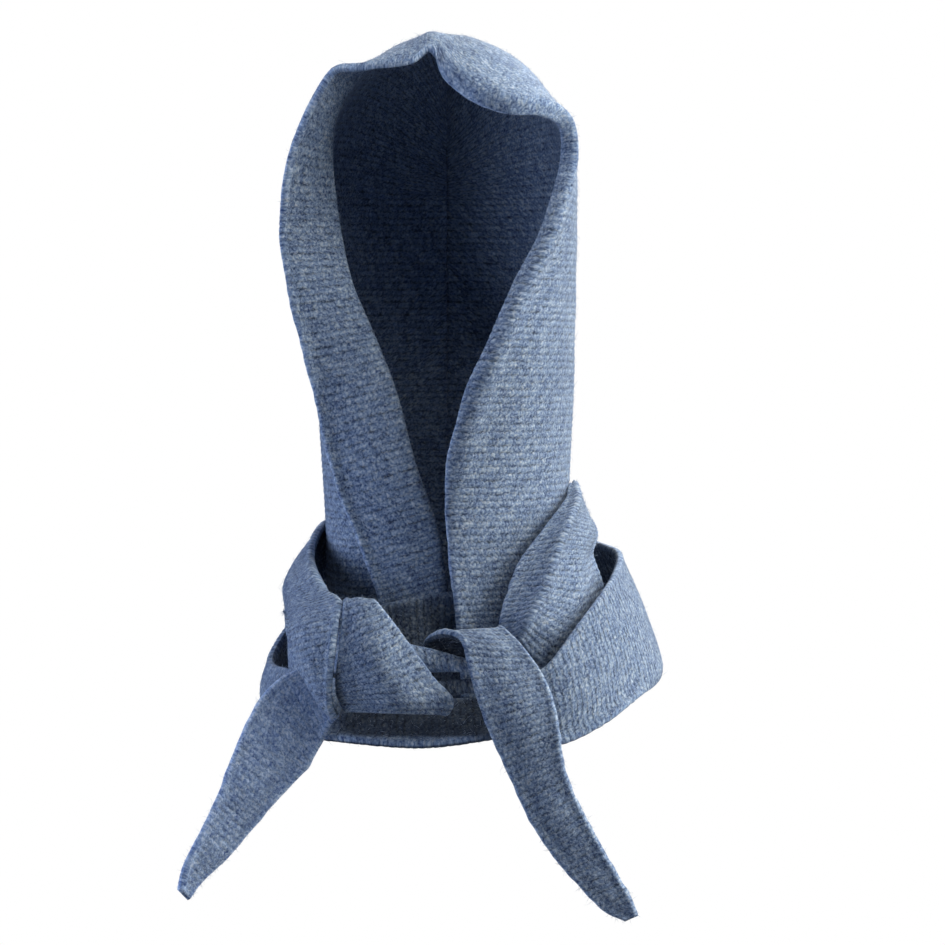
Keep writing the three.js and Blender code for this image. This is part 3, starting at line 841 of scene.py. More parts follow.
@dataclass
class Hood(ClothLayer):
    """The hood: crown, lapel turned out at the left, right panel, and back with its seam."""

    cut: Cut = Cut("hood_knit", "hood", (265.0, 1060.0), 0.251, Held.DRAPED, ("loop_band",))
    seed: int = 11
    cell: float = 5.6
    waver: float = 1.1
    seamed: bool = True
    guide: tuple[int, int] | None = (5, 6)
    half_width: float = 92.0
    front: float = 100.0
    back: float = 104.0
    rise: float = 112.0
    centre_y: float = 4.0
    centre_z: float = -110.0
    seam_tip: float = 40.0  # degrees above the widest level
    tip_proud: float = 0.08
    rear: tuple[float, ...] = (0.0, 1 / 3, 2 / 3, 1.0)  # points of a course from its side to the seam
    left_front: tuple[float, ...] = (0.55,)  # points of a course from the lapel to its side
    right_front: tuple[float, ...] = (0.25, 0.5, 0.75)  # points of a course from the right edge to its side
    lapel_turn: float = 12.0
    lapel_bow: float = 4.0
    lapel_curl: float = 2.2
    lapel_out: float = 2.5  # how far the felted edge reaches past the plain one
    lapel_skew: float = 0.34  # how far the free edge runs ahead of the roll line, in spans between courses
    edge_forward: float = 5.0  # how far the lower half of the right free edge lies forward
    edge_folds: Table = ((12.0, 2.2, 5.0), (26.0, -2.4, 7.0))  # distance from the edge, height, width
    crown_rows: float = 30.0  # mesh rows from the middle of the crown until a side counts as left or right
    fold_levels: Table = ((-115.0, -155.0), (-330.0, -260.0))  # each pair: where it is none and where full
    skew_levels: Table = ((-160.0, -280.0), (-470.0, -440.0))
    lapel_levels: Table = ((-360.0, -300.0), (0.0, -40.0))
    forward_levels: Table = ((-220.0, -280.0),)
    nap_and_light_levels: tuple[float, float] = (-150.0, -60.0)  # from ridged to worn nearly smooth with painted light
    nap_and_light_depths: tuple[float, float] = (60.0, 0.0)  # the same, from the back to the front
    apex: Table = ((-11, -45, -12), (-10, -20, 2))  # edge and roll of the course in the middle of the crown
    sections: Table = (  # level, half width, back, side line
        (-110, 92, 108, 4),
        (-190, 91, 105, 6),
        (-260, 89, 99, 6),
        (-345, 86, 92, 5),
        (-445, 82, 90, 5),
        (-470, 81, 89, 5),
    )
    courses: Table = (  # level, left edge, left roll, right edge, right turn
        (0, (-22, -50, -19), (-19, -24, -2), (2, -63, -36), (4, -66, -28)),
        (-6, (-38, -52, -22), (-34, -27, -9), (22, -78, -51), (25, -82, -42)),
        (-18, (-56, -52, -23), (-51, -27, -19), (45, -79, -57), (49, -83, -48)),
        (-38, (-75, -48, -23), (-68, -22, -35), (66, -66, -59), (72, -68, -51)),
        (-62, (-90, -44, -42), (-79, -15, -57), (79, -43, -65), (88, -46, -61)),
        (-86, (-105, -39, -74), (-82, -10, -82), (82, -37, -84), (91, -42, -84)),
        (-110, (-113, -38, -110), (-80, -8, -110), (77, -45, -106), (86, -52, -106)),
        (-142, (-115, -38, -142), (-75, -12, -142), (65, -64, -142), (74, -72, -142)),
        (-179, (-109, -42, -179), (-66, -28, -177), (47, -83, -178), (55, -91, -178)),
        (-217, (-99, -48, -217), (-50, -45, -215), (31, -97, -215), (38, -105, -215)),
        (-256, (-89, -53, -256), (-35, -66, -254), (13, -98, -254), (20, -106, -254)),
        (-300, (-78, -60, -300), (-22, -82, -300), (2, -93, -299), (8, -101, -299)),
        (-350, (-61, -70, -350), (-5, -86, -350), (1, -91, -348), (7, -98, -348)),
        (-402, (-44, -78, -400), (2, -84, -400), (7, -98, -400), (14, -101, -400)),
        (-445, (-36, -80, -434), (2, -84, -438), (10, -98, -434), (17, -101, -436)),
        (-470, (-34, -80, -458), (4, -85, -464), (11, -98, -460), (18, -101, -462)),
    )

    def on_side(self, points: np.ndarray, hand: int) -> np.ndarray:
        """Share from 0 in the middle of the crown to 1 on the left (-1) or right (1) half, for each row."""
        rows = np.arange(len(points)) - np.argmax(points[:, 0, 2])
        return rising(rows * hand, 0, self.crown_rows)[:, None]

    def folds(self, points: np.ndarray, side: np.ndarray) -> np.ndarray:
        """A crest and a hollow beside the right free edge, between the widest and the narrowest opening.

        Args:
            points: The plain middle surface.
            side: Distance of each point from the free edge.

        Returns:
            Height of the folds at each point.
        """
        share = self.on_side(points, 1) * within(points[..., 2], self.fold_levels)
        return share * sum(height * swell(side, place, width) for place, height, width in self.edge_folds)

    def curled(self, points: np.ndarray) -> np.ndarray:
        """The lapel is turned out, so its free edge curls against the normals, away from the panel behind."""
        left = self.on_side(points, -1) * np.ones(points.shape[:2])
        return self.curl - (self.curl + self.lapel_curl) * left

    def fulled(self, points: np.ndarray) -> np.ndarray:
        """The crown is worn nearly smooth, with painted light on it; the ridges come back down the sides and
        at the back.
        """
        height = rising(points[..., 2], *self.nap_and_light_levels)
        return height * height * (3 - 2 * height) * rising(points[..., 1], *self.nap_and_light_depths)

    def section(self, level: float) -> np.ndarray:
        """Half width, depth behind and side line of the hood at a level below its widest."""
        table = np.array(self.sections, float)[::-1]
        return np.array([np.interp(level, table[:, 0], table[:, k]) for k in (1, 2, 3)])

    def arc(self, start: np.ndarray, end: np.ndarray, share: float, reach: float) -> np.ndarray:
        """A point part of the way round from one direction to another.

        Args:
            start: The first direction.
            end: The last direction.
            share: How far round the point is, from 0 to 1.
            reach: Its distance from their centre.

        Returns:
            The point.
        """
        a, b = unit(start), unit(end)
        angle = math.acos(float(np.clip(a @ b, -1, 1)))
        return unit(a * math.sin((1 - share) * angle) + b * math.sin(share * angle)) * reach

    def behind(self, hand: int, level: float) -> list[np.ndarray]:
        """Side, rear and back seam of one course.

        Args:
            hand: -1 for the left half, 1 for the right.
            level: Level of the course's side point.

        Returns:
            The course's points from its side to the seam.
        """
        if level < self.centre_z:
            half_width, back, side_y = self.section(level)
            turns = [part * math.pi / 2 for part in self.rear]
            return [
                np.array([hand * half_width * math.cos(a), side_y + (back - side_y) * math.sin(a), level])
                for a in turns
            ]
        tilt = math.asin(min((level - self.centre_z) / self.rise, 1.0))
        lift = tilt / (math.pi / 2) * math.radians(self.seam_tip)
        side = np.array([hand * math.cos(tilt), 0.0, math.sin(tilt)])
        seam = np.array([0.0, math.cos(lift), math.sin(lift)])
        proud = self.tip_proud * math.sin(tilt) ** 2
        scale = np.array([self.half_width, self.back, self.rise])
        centre = np.array([0, self.centre_y, self.centre_z])
        return [centre + self.arc(side, seam, part, 1 + proud * part**2) * scale for part in self.rear]

    def round_front(
        self, start: np.ndarray, side: np.ndarray, level: float, parts: tuple[float, ...]
    ) -> list[np.ndarray]:
        """Carries a course round the front of the hood.

        Args:
            start: Where it leaves the free edge or the lapel.
            side: Its side point.
            level: Level of the side point.
            parts: How far round each point is, from 0 to 1.

        Returns:
            The points.
        """
        crown = level >= self.centre_z
        scale = np.array([self.half_width, self.front, self.rise])
        centre = np.array([0.0, side[1], self.centre_z])
        a, b = (start - centre) / scale, (side - centre) / scale
        if not crown:
            a[2] = b[2] = 0.0
        reach_a, reach_b = np.linalg.norm(a), np.linalg.norm(b)
        made = []
        for t in parts:
            point = self.arc(a, b, t, reach_b + (reach_a - reach_b) * (1 - t) ** 2) * scale + centre
            if not crown:
                point[2] = start[2] + (side[2] - start[2]) * t
            made.append(point)
        return made

    def left_course(self, level: float, edge: tuple, roll: tuple) -> list[np.ndarray]:
        """One course of the left half.

        Args:
            level: Level of its side point.
            edge: Its free edge.
            roll: Where the lapel rolls out.

        Returns:
            Free edge, lapel, roll line, panel, side and back.
        """
        side, *behind = self.behind(-1, level)
        free, turn = np.array(edge, float), np.array(roll, float)
        lapel = (free + turn) / 2 + FORWARD * self.lapel_bow
        back = turn + unit(side - turn) * self.lapel_turn
        return [free, lapel, turn, back, *self.round_front(back, side, level, self.left_front), side, *behind]

    def right_course(self, level: float, edge: tuple, turn: tuple) -> list[np.ndarray]:
        """One course of the right half.

        Args:
            level: Level of its side point.
            edge: Its free edge.
            turn: Where the selvage rolls.

        Returns:
            Free edge, rolled selvage, panel, side and back.
        """
        side, *behind = self.behind(1, level)
        fold = np.array(turn, float)
        free = np.array(edge, float) + FORWARD * self.edge_forward * within(level, self.forward_levels)
        return [free, fold, *self.round_front(fold, side, level, self.right_front), side, *behind]

    def rows(self) -> np.ndarray:
        """Courses from the left foot over the crown to the right foot.

        Returns:
            Control points of the layer.
        """
        levels = np.array([course[0] for course in self.courses], float)
        edges = np.array([course[1] for course in self.courses], float)
        edges = slid(edges, self.lapel_skew * within(levels, self.skew_levels))
        edges[:, 0] -= self.lapel_out * within(levels, self.lapel_levels)
        left = [self.left_course(course[0], edge, course[2]) for course, edge in zip(self.courses, edges)]
        right = [self.right_course(level, edge, turn) for level, _, _, edge, turn in self.courses]
        return np.array([*left[::-1], self.left_course(self.centre_z + self.rise, *self.apex), *right])


@dataclass
class NeckPleat(ClothLayer):
    """The pleat pulled from the right of the hood into the knot."""

    cut: Cut = Cut("neck_pleat_knit", "neck_fold_right", (88.0, 165.0), 0.0128, Held.FOLDED, ("hood_knit",))
    seed: int = 12
    cell: float = 2.8
    uneven: float = 0.5
    crest: float = 3.2  # how far the pleat's fold stands proud of the plain curve
    crest_span: tuple[float, float] = (0.2, 0.8)  # the part of a full arch that the crest follows
    fold: float = 0.16  # how near to the fold the cloth turns flat again, as a share of the next face
    inner_fold: float = 0.224  # the same on the valley's side
    hollow: float = 1.5  # of the valley's face
    table: Table = (  # valley, ridge, flank, hidden edge
        ((91.5, -8, -318), (92.5, 2, -317), (92, 18, -321), (88, 41, -328)),
        ((82, -44, -331), (93, -42, -328), (99, -2, -335), (99, 36, -341)),
        ((67, -74, -348), (85, -76, -343), (101, -34, -350), (107, 12, -354)),
        ((50, -93, -369), (75, -98, -365), (94, -67, -368), (103, -20, -368)),
        ((42, -104, -389), (67, -113, -387), (91, -90, -394), (110, -46, -391)),
        ((38, -110, -405), (59, -122, -401), (80, -107, -415), (100, -76, -420)),
        ((36, -112, -424), (50, -124, -419), (64, -118, -436), (82, -98, -446)),
    )

    def rows(self) -> np.ndarray:
        """Sections from the side of the hood to the knot, with the fold drawn sharper than the plain curve.

        Returns:
            Control points of the layer.
        """
        valley, ridge, flank, hidden = np.array(self.table, float).transpose(1, 0, 2)
        proud = unit(ridge * 2 - valley - flank)
        arch = np.sin(math.pi * np.linspace(*self.crest_span, len(ridge)))[:, None]
        tip = ridge + proud * self.crest * arch
        left = ridge + (valley - ridge) * self.inner_fold
        right = ridge + (flank - ridge) * self.fold
        middle = (valley + left) / 2 - FORWARD * self.hollow
        return np.stack([valley, middle, left, tip, right, flank, hidden], axis=1)


@dataclass
class NeckWrap(ClothLayer):
    """The broad wrap round the foot of the hood, from under the right tail round the back to the front."""

    cut: Cut = Cut(
        "neck_wrap_knit", "neck_wrap", (92.0, 860.0), 0.061, Held.DRAPED, ("inner_band_knit", "loop_knit"),
    )
    seed: int = 13
    curl: float = 0.9
    belly: float = 4.0
    lip_depth: float = 7.0  # of the rim, all round
    lip_outward: float = 3.0  # in front the rim turns out
    front: tuple[float, float] = (60.0, 120.0)  # how far forward the front begins, and where it is full
    tuck: tuple[float, float] = (3.0, 2.0)  # elsewhere it rounds in: fullness above, and how far in
    # painted shade under the knot and on the inner face
    knot_shade: KnotShade = KnotShade(76.0, 98.0, -485.0, 1.0)
    inner_shade: float = 0.8
    table: Table = (  # top, foot
        ((52, -141, -444), (62, -152, -486)),
        ((69, -139, -433), (81, -150, -484)),
        ((91, -113, -408), (107, -136, -473)),
        ((105, -88, -393), (125, -115, -463)),
        ((118, -50, -379), (144, -72, -457)),
        ((124, 5, -368), (153, 2, -454)),
        ((114, 56, -365), (139, 66, -451)),
        ((84, 88, -357), (99, 108, -450)),
        ((38, 97, -353), (45, 120, -450)),
        ((-20, 101, -362), (-20, 120, -454)),
        ((-74, 86, -388), (-80, 102, -462)),
        ((-110, 56, -418), (-116, 64, -472)),
        ((-127, 15, -445), (-129, 12, -480)),
        ((-112, -30, -448), (-123, -40, -483)),
        ((-88, -84, -442), (-102, -112, -483)),
        ((-60, -101, -455), (-67, -134, -485)),
        ((-17, -104, -461), (-17, -143, -487)),
        ((25, -106, -460), (29, -141, -482)),
        ((46, -112, -459), (50, -138, -478)),
    )

    def rows(self) -> np.ndarray:
        """Sections from the upper edge over a slight belly to the lip of the lower rim.

        Returns:
            Control points of the layer.
        """
        made = []
        for top, foot in np.array(self.table, float):
            outward = unit(foot * np.array([1, 1, 0]))
            front = rising(-foot[1], *self.front)
            bend = top + (foot - top) * (1 - self.lip_depth / np.linalg.norm(foot - top))
            bend += outward * self.tuck[0] * (1 - front)
            lip = self.lip_outward * front - self.tuck[1] * (1 - front)
            made.append([top, (top + foot) / 2 + outward * self.belly, bend, foot + outward * lip])
        return np.array(made)


@dataclass
class Band(ClothLayer):
    """A plain band between an upper and a lower edge, equally full all along."""

    bow: float = 3.0
    table: Table = ()  # top, foot

    def rows(self) -> np.ndarray:
        """Sections from the upper to the lower edge."""
        return np.array([bowed(top, foot, self.bow, FORWARD) for top, foot in self.table])


@dataclass
class InnerBand(Band):
    """Inner layer of the wrap, between the lapel and the knot."""

    cut: Cut = Cut("inner_band_knit", "inner_band", (46.0, 290.0), 0.0125, Held.FOLDED, ("hood_knit",))
    seed: int = 14
    cell: float = 2.8
    # painted shade under the knot
    knot_shade: KnotShade = KnotShade(70.0, 80.0, -480.0, 0.7)
    table: Table = (
        ((-63, 70, -402), (-62, 69, -444)),
        ((-94, 40, -411), (-94, 40, -452)),
        ((-111, 4, -420), (-110, 3, -458)),
        ((-104, -42, -424), (-102, -46, -462)),
        ((-74, -78, -408), (-74, -84, -452)),
        ((-44, -89, -397), (-42, -95, -452)),
        ((-20, -91, -391), (-18, -97, -458)),
        ((5, -86, -388), (7, -89, -465)),
        ((30, -76, -390), (32, -79, -464)),
    )


@dataclass
class UpperStrand(Band):
    """The upper strand across the middle of the knot."""

    cut: Cut = Cut(
        "knot_strand_upper_knit", "knot_strand_upper", (18.0, 75.0), 0.00125, Held.GATHERED,
        ("knot_cross_knit",),
    )
    seed: int = 15
    cell: float = 2.4
    uneven: float = 0.3
    table: Table = (
        ((-38, -149, -414), (-34, -150, -434)),
        ((-22, -148, -418), (-16, -149, -437)),
        ((-6, -145, -422), (-2, -148, -437)),
        ((14, -143, -429), (17, -148, -437)),
        ((30, -140, -432), (32, -144, -440)),
    )


@dataclass
class LowerStrand(Band):
    """The lower strand across the middle of the knot."""

    cut: Cut = Cut(
        "knot_strand_lower_knit", "knot_strand_lower", (11.0, 62.0), 0.00065, Held.GATHERED,
        ("knot_cross_knit",),
    )
    seed: int = 16
    cell: float = 2.0
    uneven: float = 0.2
    # painted shade under the knot
    knot_shade: KnotShade = KnotShade(60.0, 120.0, -470.0, 0.6)
    table: Table = (
        ((-24, -151, -441), (-20, -152, -451)),
        ((-4, -148, -443), (0, -149, -453)),
        ((17, -140, -443), (19, -143, -452)),
        ((32, -135, -449), (34, -138, -457)),
    )


@dataclass
class LoopBand(ClothLayer):
    """The upright loop at the left, from the back of the hood to its tuck under the knot."""

    cut: Cut = Cut("loop_knit", "loop_band", (60.0, 430.0), 0.0245, Held.FOLDED, ("hood_knit",))
    seed: int = 17
    cell: float = 2.8
    roll: float = -6.0
    # painted shade on the inner face in the loop's hollow
    inner_shade: float = 0.7
    seat: float = 4.4  # from the middle of the hood's wall to the middle of this layer
    flare: float = 3.0
    roll_depths: tuple[float, float] = (20.0, 80.0)  # how far forward the front edge begins to roll in
    roll_levels: tuple[float, float] = (-402.0, -388.0)
    on_back: Table = (  # degrees round from the right side, top, foot
        (18, -329, -384),
        (48, -335, -392),
        (78, -340, -398),
        (108, -343, -400),
        (132, -344, -400),
    )
    table: Table = (  # outer edge, front edge, bow
        ((-88, 60, -396), (-84, 34, -345), 4),
        ((-100, 44, -399), (-91, 0, -352), 10),
        ((-107, 18, -404), (-94, -42, -364), 13),
        ((-111, -18, -408), (-92, -80, -373), 11),
        ((-112, -52, -408), (-82, -112, -385), 9),
        ((-110, -86, -408), (-70, -137, -391), 7),
        ((-106, -112, -418), (-71, -149, -404), 7),
        ((-100, -128, -432), (-73, -156, -423), 6),
        ((-90, -137, -447), (-75, -156, -442), 5),
        ((-80, -143, -460), (-75, -153, -457), 3),
        ((-73, -146, -468), (-72, -150, -467), 0),
    )

    def rows(self) -> np.ndarray:
        """Sections from the lower or outer edge to the upper or front edge.

        Returns:
            Control points of the layer.
        """
        hood, made = Hood(), []
        for degrees, top, foot in self.on_back:
            turn, section = math.radians(degrees), []
            for level, loose in ((foot, 1.0), ((top + foot) / 2, 0.5), (top, 0.0)):
                half_width, back, side_y = hood.section(level)
                proud = self.seat + self.flare * loose
                y = side_y + (back - side_y + proud) * math.sin(turn)
                section.append([(half_width + proud) * math.cos(turn), y, level])
            made.append(section)
        return np.array(made + [bowed(outer, front, bow, LEFTWARD) for outer, front, bow in self.table])

    def rolled(self, points: np.ndarray) -> np.ndarray:
        """The front edge rolls in where it stands free, and lies flat where it comes to the knot."""
        return rising(-points[..., 1], *self.roll_depths) * rising(points[..., 2], *self.roll_levels)


@dataclass
class KnotCross(ClothLayer):
    """The broad face of the knot, from its rolled top edge to its rolled lower edge."""

    cut: Cut = Cut("knot_cross_knit", "knot_cross", (72.0, 92.0), 0.0058, Held.FOLDED, ("loop_knit",))
    seed: int = 18
    cell: float = 2.6
    roll: float = -5.0
    table: Table = (  # left, middle, right, the course's slant in spans
        ((-68, -124, -395), (-58, -131, -394), (-48, -136, -396), 0),
        ((-68, -135, -391), (-57, -143, -389), (-45, -147, -391), 0.15),
        ((-68, -145, -402), (-52, -154, -400), (-35, -152, -402), 0.4),
        ((-70, -150, -418), (-47, -162, -416), (-23, -155, -418), 0.6),
        ((-72, -149, -434), (-42, -167, -432), (-11, -156, -434), 0.65),
        ((-73, -145, -447), (-36, -168, -446), (-1, -156, -448), 0.5),
        ((-71, -141, -457), (-32, -166, -456), (7, -153, -458), 0.2),
        ((-67, -139, -465), (-31, -160, -463), (2, -150, -466), 0),
    )

    def rows(self) -> np.ndarray:
        """Sections from left to right, with their courses askew."""
        left, middle, right, slant = (np.array(column, float) for column in zip(*self.table))
        return np.stack([slid(left, slant), middle, slid(right, -slant)], axis=1)


@dataclass
class RightTail(ClothLayer):
    """The end that comes over the knot and hangs at the right."""

    cut: Cut = Cut(
        "tail_right_knit", "tail_right", (58.0, 270.0), 0.0112, Held.HUNG, ("knot_strand_upper_knit",),
    )
    seed: int = 19
    cell: float = 2.8
    # painted shade on the inner face under the fold
    inner_shade: float = 1.0
    hollow_levels: tuple[float, float] = (-436.0, -424.0)
    table: Table = (  # left edge, right edge, bow, the course's slant in spans
        ((8, -139, -436), (53, -134, -446), 0, 0),
        ((-8, -140, -428), (52, -134, -432), 0, 0),
        ((-14, -141, -418), (47, -133, -415), 1, 0),
        ((-4, -148, -411), (41, -141, -409), 2, 0),
        ((10, -155, -414), (51, -149, -418), 4, 0),
        ((15, -160, -429), (63, -153, -433), 4, 0.1),
        ((20, -163, -446), (71, -157, -447), 4, 0.25),
        ((26, -164, -465), (76, -160, -466), 4, 0.36),
        ((33, -163, -482), (79, -161, -484), 3, 0.4),
        ((43, -161, -504), (82, -160, -504), 3, 0.36),
        ((54, -160, -529), (92, -158, -526), 3, 0.3),
        ((70, -158, -556), (107, -156, -555), 2, 0.25),
        ((90, -154, -580), (120, -153, -578), 2, 0.2),
        ((106, -151, -597), (128, -151, -592), 1, 0.1),
        ((122, -150, -606), (131, -150, -602), 0, 0),
    )

    def inner_shade_at(self, points: np.ndarray) -> np.ndarray:
        """Shade is painted on the inner face in the hollow under the fold over the knot."""
        return self.inner_shade * rising(points[..., 2], *self.hollow_levels)

    def rows(self) -> np.ndarray:
        """Sections from the hidden end over the knot to the tip, with their courses askew.

        Returns:
            Control points of the layer.
        """
        left, right, bows, slant = (np.array(column, float) for column in zip(*self.table))
        pairs = zip(slid(left, slant), slid(right, -slant), bows)
        return np.array([bowed(a, b, bow, FORWARD) for a, b, bow in pairs])


@dataclass
class LeftTail(ClothLayer):
    """The end that comes out under the loop and hangs at the left."""

    cut: Cut = Cut("tail_left_knit", "tail_left", (50.0, 205.0), 0.0074, Held.HUNG, ("loop_knit",))
    # finer and smoother than the rest; its lighter colours are painted light, a lit copy of the same knit
    finish: FeltedGarterKnit = FeltedGarterKnit(
        "fulled_painted_light_garter_knit", furrow_shade=0.09, gap_shade=0.35, relief=0.405,
        light="#c6d6ec", middle="#8aa2c8", dark="#4a629a",
    )
    seed: int = 20
    cell: float = 2.8
    ridge_depth: float = 0.14
    table: Table = (  # upper edge, lower edge, bow
        ((-84, -118, -437), (-71, -145, -467), 0),
        ((-98, -122, -437), (-77, -143, -474), 1),
        ((-113, -127, -444), (-81, -140, -483), 2),
        ((-124, -132, -455), (-86, -141, -492), 3),
        ((-132, -138, -468), (-92, -141, -503), 3),
        ((-138, -143, -481), (-99, -141, -510), 3),
        ((-146, -150, -501), (-115, -142, -527), 3),
        ((-154, -156, -522), (-131, -142, -545), 2),
        ((-164, -161, -543), (-148, -145, -564), 2),
        ((-174, -165, -564), (-164, -150, -578), 1),
        ((-178, -166, -582), (-173, -157, -590), 0),
    )

    def rows(self) -> np.ndarray:
        """Sections from behind the loop to the tip."""
        return np.array([bowed(upper, lower, bow, FORWARD) for upper, lower, bow in self.table])


@dataclass
class LooseFibres:
    """Loose wool fibres that stand off the face of some layers, as one piece."""

    name: str
    count: int
    seed: int
    finish: LooseWoolFibre = LooseWoolFibre("loose_wool_fibre")
    length: tuple[float, float] = (1.6, 5.5)
    long_ones: tuple[float, float] = (0.06, 2.0)  # their share, and how much longer they are
    thickness: float = 0.085  # drawn thicker than a real wool fibre, which is too fine to show
    taper: float = 0.8  # thickness at the knee beside that at the root
    sunk: float = 0.15  # how deep the roots go
    stand: tuple[float, float] = (0.12, 0.28)  # mean and spread of the slope away from the cloth
    stand_limits: tuple[float, float] = (0.05, 1.2)
    tip_stand: float = 0.4  # slope beyond the knee beside that before it
    droop: float = 0.5  # most sideways bend at the knee

    SIDES: ClassVar[int] = 3
    SHARES: ClassVar[dict[Facing, float]] = {Facing.OUT: 0.72, Facing.IN: 0.28}

    def rooted(self, layers: list[ClothLayer], rng: np.random.Generator) -> list[np.ndarray]:
        """Places the fibres on the layers, by their share of the cloth.

        Args:
            layers: Built layers.
            rng: Source of the places.

        Returns:
            Roots, directions away from the cloth and directions along it, each of shape (fibres, 3).
        """
        found = []
        spreads = [layer.made.at.across.mean(axis=0) for layer in layers]
        lengths = np.array([layer.made.at.along[-1, 0] for layer in layers])
        sizes = lengths * np.array([np.ptp(spread) for spread in spreads])
        for layer, spread, share in zip(layers, spreads, sizes / sizes.sum()):
            made, number = layer.made, int(self.count * share)
            for facing, part in self.SHARES.items():
                few = int(number * part)
                i = rng.integers(1, made.at.along.shape[0] - 2, few)
                place = rng.uniform(spread[0], spread[-1], few)
                j = np.searchsorted(spread, place, side="right").clip(1, len(spread) - 1) - 1
                mix = ((place - spread[j]) / (spread[j + 1] - spread[j]))[:, None]
                face = made.faces[facing]
                root = face[i, j] * (1 - mix) + face[i, j + 1] * mix
                found.append((root, made.normals[i, j] * facing.value, unit(face[i + 1, j] - face[i - 1, j])))
        return [np.concatenate(column) for column in zip(*found)]

    def corners(self) -> np.ndarray:
        """Point numbers of one fibre's triangles: its end, two rings of points and the tip.

        Returns:
            Shape (triangles, 3).
        """
        made = [(0, 2, 1)]
        for k in range(self.SIDES):
            n = (k + 1) % self.SIDES
            up, next_up = k + self.SIDES, n + self.SIDES
            made += [(k, n, next_up), (k, next_up, up), (up, next_up, 2 * self.SIDES)]
        return np.array(made)

    def build(self, layers: list[ClothLayer]) -> bpy.types.Object:
        """Builds and dresses the fibres on the given layers.

        Args:
            layers: Built layers.

        Returns:
            The piece.
        """
        rng = np.random.default_rng(self.seed)
        root, up, side = self.rooted(layers, rng)
        total = len(root)
        turn = rng.uniform(0, 2 * math.pi, (total, 1))
        flat = side * np.cos(turn) + unit(np.cross(up, side)) * np.sin(turn)
        stand = np.abs(rng.normal(*self.stand, (total, 1))).clip(*self.stand_limits)
        share, longer = self.long_ones
        long = rng.uniform(*self.length, (total, 1)) * np.where(rng.random((total, 1)) < share, longer, 1.0)
        droop = rng.uniform(-self.droop, self.droop, (total, 1))
        knee = root + (flat + up * stand) * long / 2
        bent = flat * (1 - np.abs(droop)) + np.cross(up, flat) * droop
        tip = knee + (bent + up * (stand * self.tip_stand)) * long / 2
        a = unit(np.cross(flat, up))
        b = unit(np.cross(a, knee - root))
        turns = [2 * math.pi * k / self.SIDES for k in range(self.SIDES)]
        ends = ((root - up * self.sunk, self.thickness), (knee, self.thickness * self.taper))
        rings = [
            centre + (a * math.cos(w) + b * math.sin(w)) * radius for centre, radius in ends for w in turns
        ]
        points = np.stack([*rings, tip], axis=1)
        polygons = (self.corners()[None] + np.arange(total)[:, None, None] * points.shape[1]).reshape(-1, 3)
        piece = mesh_object(self.name, points.reshape(-1, 3), polygons)
        piece.data.materials.append(self.finish.material())
        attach(piece, BODY)
        return piece


@dataclass(frozen=True)
class Lamp:
    """One large round soft lamp, aimed at the scarf from a turn and a height in degrees."""

    name: str
    turn: float  # 0 in front of the scarf, 90 at its right
    height: float
    watts: float
    colour: str = "#fffdf6"
    size: float = 1.2  # metres
    reach: float = 2.4  # metres from the scarf

    def hang(self, aim: Vector) -> None:
        """Adds the lamp to the scene.

        Args:
            aim: The place it is aimed at, in metres.
        """
        made = bpy.data.lights.new(self.name, "AREA")
        made.shape, made.size, made.energy = "DISK", self.size, self.watts
        made.color = linear(self.colour)[:3]
        turn, height = math.radians(self.turn), math.radians(self.height)
        level = math.cos(height)
        towards = Vector((math.sin(turn) * level, -math.cos(turn) * level, math.sin(height)))
        held = bpy.data.objects.new(self.name, made)
        held.location = aim + towards * self.reach
        held.rotation_euler = (-towards).to_track_quat("-Z", "Y").to_euler()
        bpy.context.scene.collection.objects.link(held)


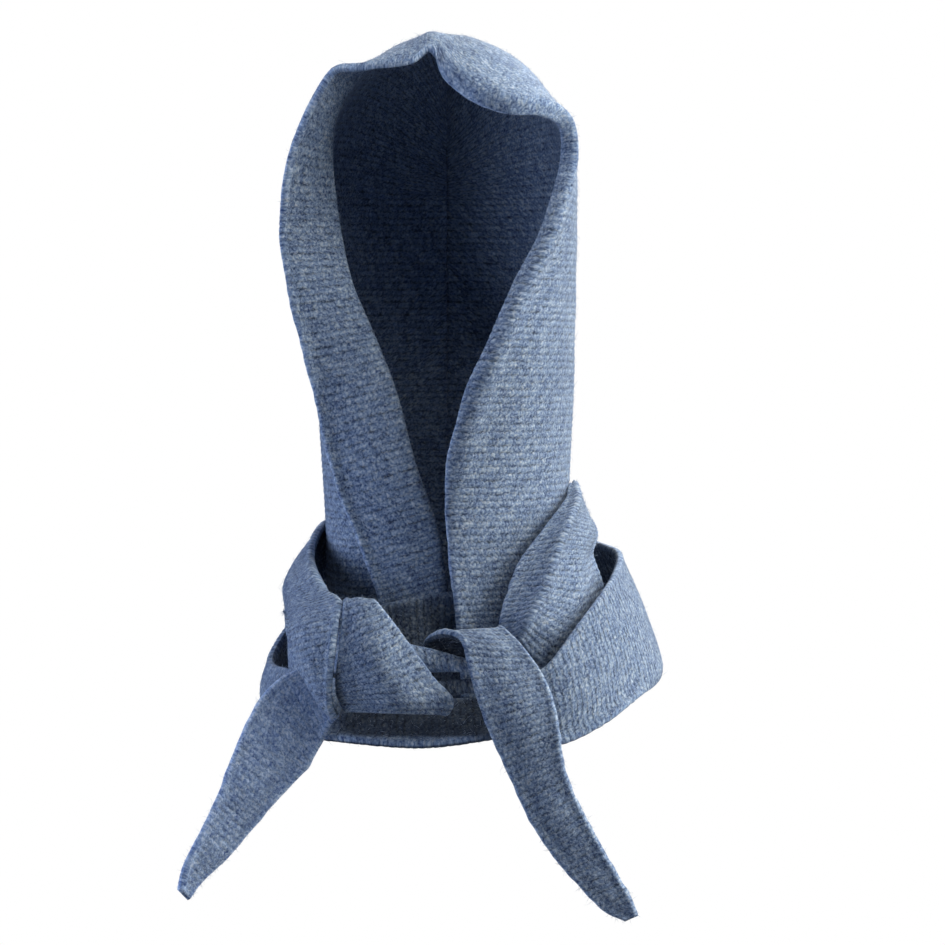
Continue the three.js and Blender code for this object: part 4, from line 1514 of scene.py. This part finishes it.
@dataclass
class Studio:
    """Plain pale floor, soft studio light and the camera."""

    floor_z: float = -690.0
    floor_size: float = 9.0  # metres
    aim: tuple[float, float, float] = (19.08, 0.0, -309.84)
    distance: float = 2200.0
    look_down: float = 3.0  # degrees
    lens: float = 116.4
    sensor: float = 36.0
    sight: float = 50.0  # metres
    ambient: float = 0.03
    sky: str = "#fbfcff"
    paper: str = "#6d7076"  # as the scarf sees it, far darker than as the camera does
    paper_roughness: float = 0.9
    paper_specular: float = 0.1
    lamps: tuple[Lamp, ...] = (
        Lamp("key_low", 70, 25, 33.0),
        Lamp("key_high", 70, 50, 9.0),
        Lamp("side_right", 90, 5, 38.0),
        Lamp("fill_left", -98, 0, 36.0, "#dce7ff"),
        Lamp("fill_front", -50, 4, 15.0, "#dce7ff"),
        Lamp("front_high", 25, 50, 6.0),
        Lamp("back_right", 165, 30, 39.0),
        Lamp("crown", 85, 70, 22.0),
    )

    def floor(self) -> None:
        """Lays the pale floor, with a finish of matt seamless paper."""
        half = self.floor_size / 2 / MM
        square = ((-half, -half), (half, -half), (half, half), (-half, half))
        corners = np.array([[x, y, self.floor_z] for x, y in square])
        piece = mesh_object("studio_floor", corners, np.array([[0, 1, 2, 3]]))
        made, shader = new_material("seamless_paper")
        tree = made.node_tree
        feed(shader, {
            "Base Color": linear(self.paper),
            "Roughness": self.paper_roughness,
            "Specular IOR Level": self.paper_specular,
        })
        seen = add_node(tree, "ShaderNodeLightPath").outputs["Is Camera Ray"]
        bright = add_node(tree, "ShaderNodeEmission", {"Color": linear(WHITE)})
        both = add_node(tree, "ShaderNodeMixShader", (seen, shader, bright))
        feed(tree.nodes["Material Output"], {"Surface": both})
        piece.data.materials.append(made)

    def light(self) -> None:
        """Sets a white surround and hangs the lamps."""
        world = bpy.data.worlds.new("studio")
        world.use_nodes = True
        bpy.context.scene.world = world
        world.node_tree.nodes.clear()
        add = partial(add_node, world.node_tree)
        seen = add("ShaderNodeLightPath").outputs["Is Camera Ray"]
        bright = add("ShaderNodeBackground", {"Color": linear(WHITE), "Strength": 1.0})
        soft = add("ShaderNodeBackground", {"Color": linear(self.sky), "Strength": self.ambient})
        add("ShaderNodeOutputWorld", (add("ShaderNodeMixShader", (seen, soft, bright)),))
        for lamp in self.lamps:
            lamp.hang(Vector(self.aim) * MM)

    def camera(self) -> None:
        """Sets the camera at the photograph's viewing angle."""
        tilt = math.radians(self.look_down)
        made = bpy.data.cameras.new("camera")
        made.lens, made.sensor_width = self.lens, self.sensor
        made.clip_end = self.sight
        held = bpy.data.objects.new("camera", made)
        back = Vector((0, -math.cos(tilt), math.sin(tilt))) * self.distance
        held.location = (Vector(self.aim) + back) * MM
        held.rotation_euler = (math.pi / 2 - tilt, 0, 0)
        bpy.context.scene.collection.objects.link(held)
        bpy.context.scene.camera = held

    def build(self) -> None:
        """Sets the whole stage."""
        self.floor()
        self.light()
        self.camera()
        bpy.context.scene.view_settings.view_transform = "Standard"


def main() -> None:
    """Sets the stage, then builds and dresses every layer of the scarf with its loose fibres."""
    logging.basicConfig(level=logging.INFO, format="%(name)s: %(message)s")
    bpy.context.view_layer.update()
    Studio().build()
    hood, pleat, wrap, inner, loop = Hood(), NeckPleat(), NeckWrap(), InnerBand(), LoopBand()
    cross, upper, lower = KnotCross(), UpperStrand(), LowerStrand()
    right, left = RightTail(), LeftTail()
    layers = [hood, loop, inner, pleat, wrap, left, cross, upper, lower, right]
    built = {layer.cut.name: layer.build() for layer in layers}
    round_knot = [wrap, pleat, inner, loop, cross, upper, lower]
    fibres = {
        hood.cut.name: LooseFibres("hood_fibres", 14000, 31).build([hood]),
        wrap.cut.name: LooseFibres("wrap_fibres", 11000, 32).build(round_knot),
        right.cut.name: LooseFibres("tail_fibres", 4500, 33).build([right, left]),
    }
    for layer in layers:
        layer.dress(built[layer.cut.name], fibres.get(layer.cut.name))
    for piece in (*built.values(), *fibres.values()):
        LOG.info("%s: %d points", piece.name, len(piece.data.vertices))


if __name__ == "__main__":
    main()
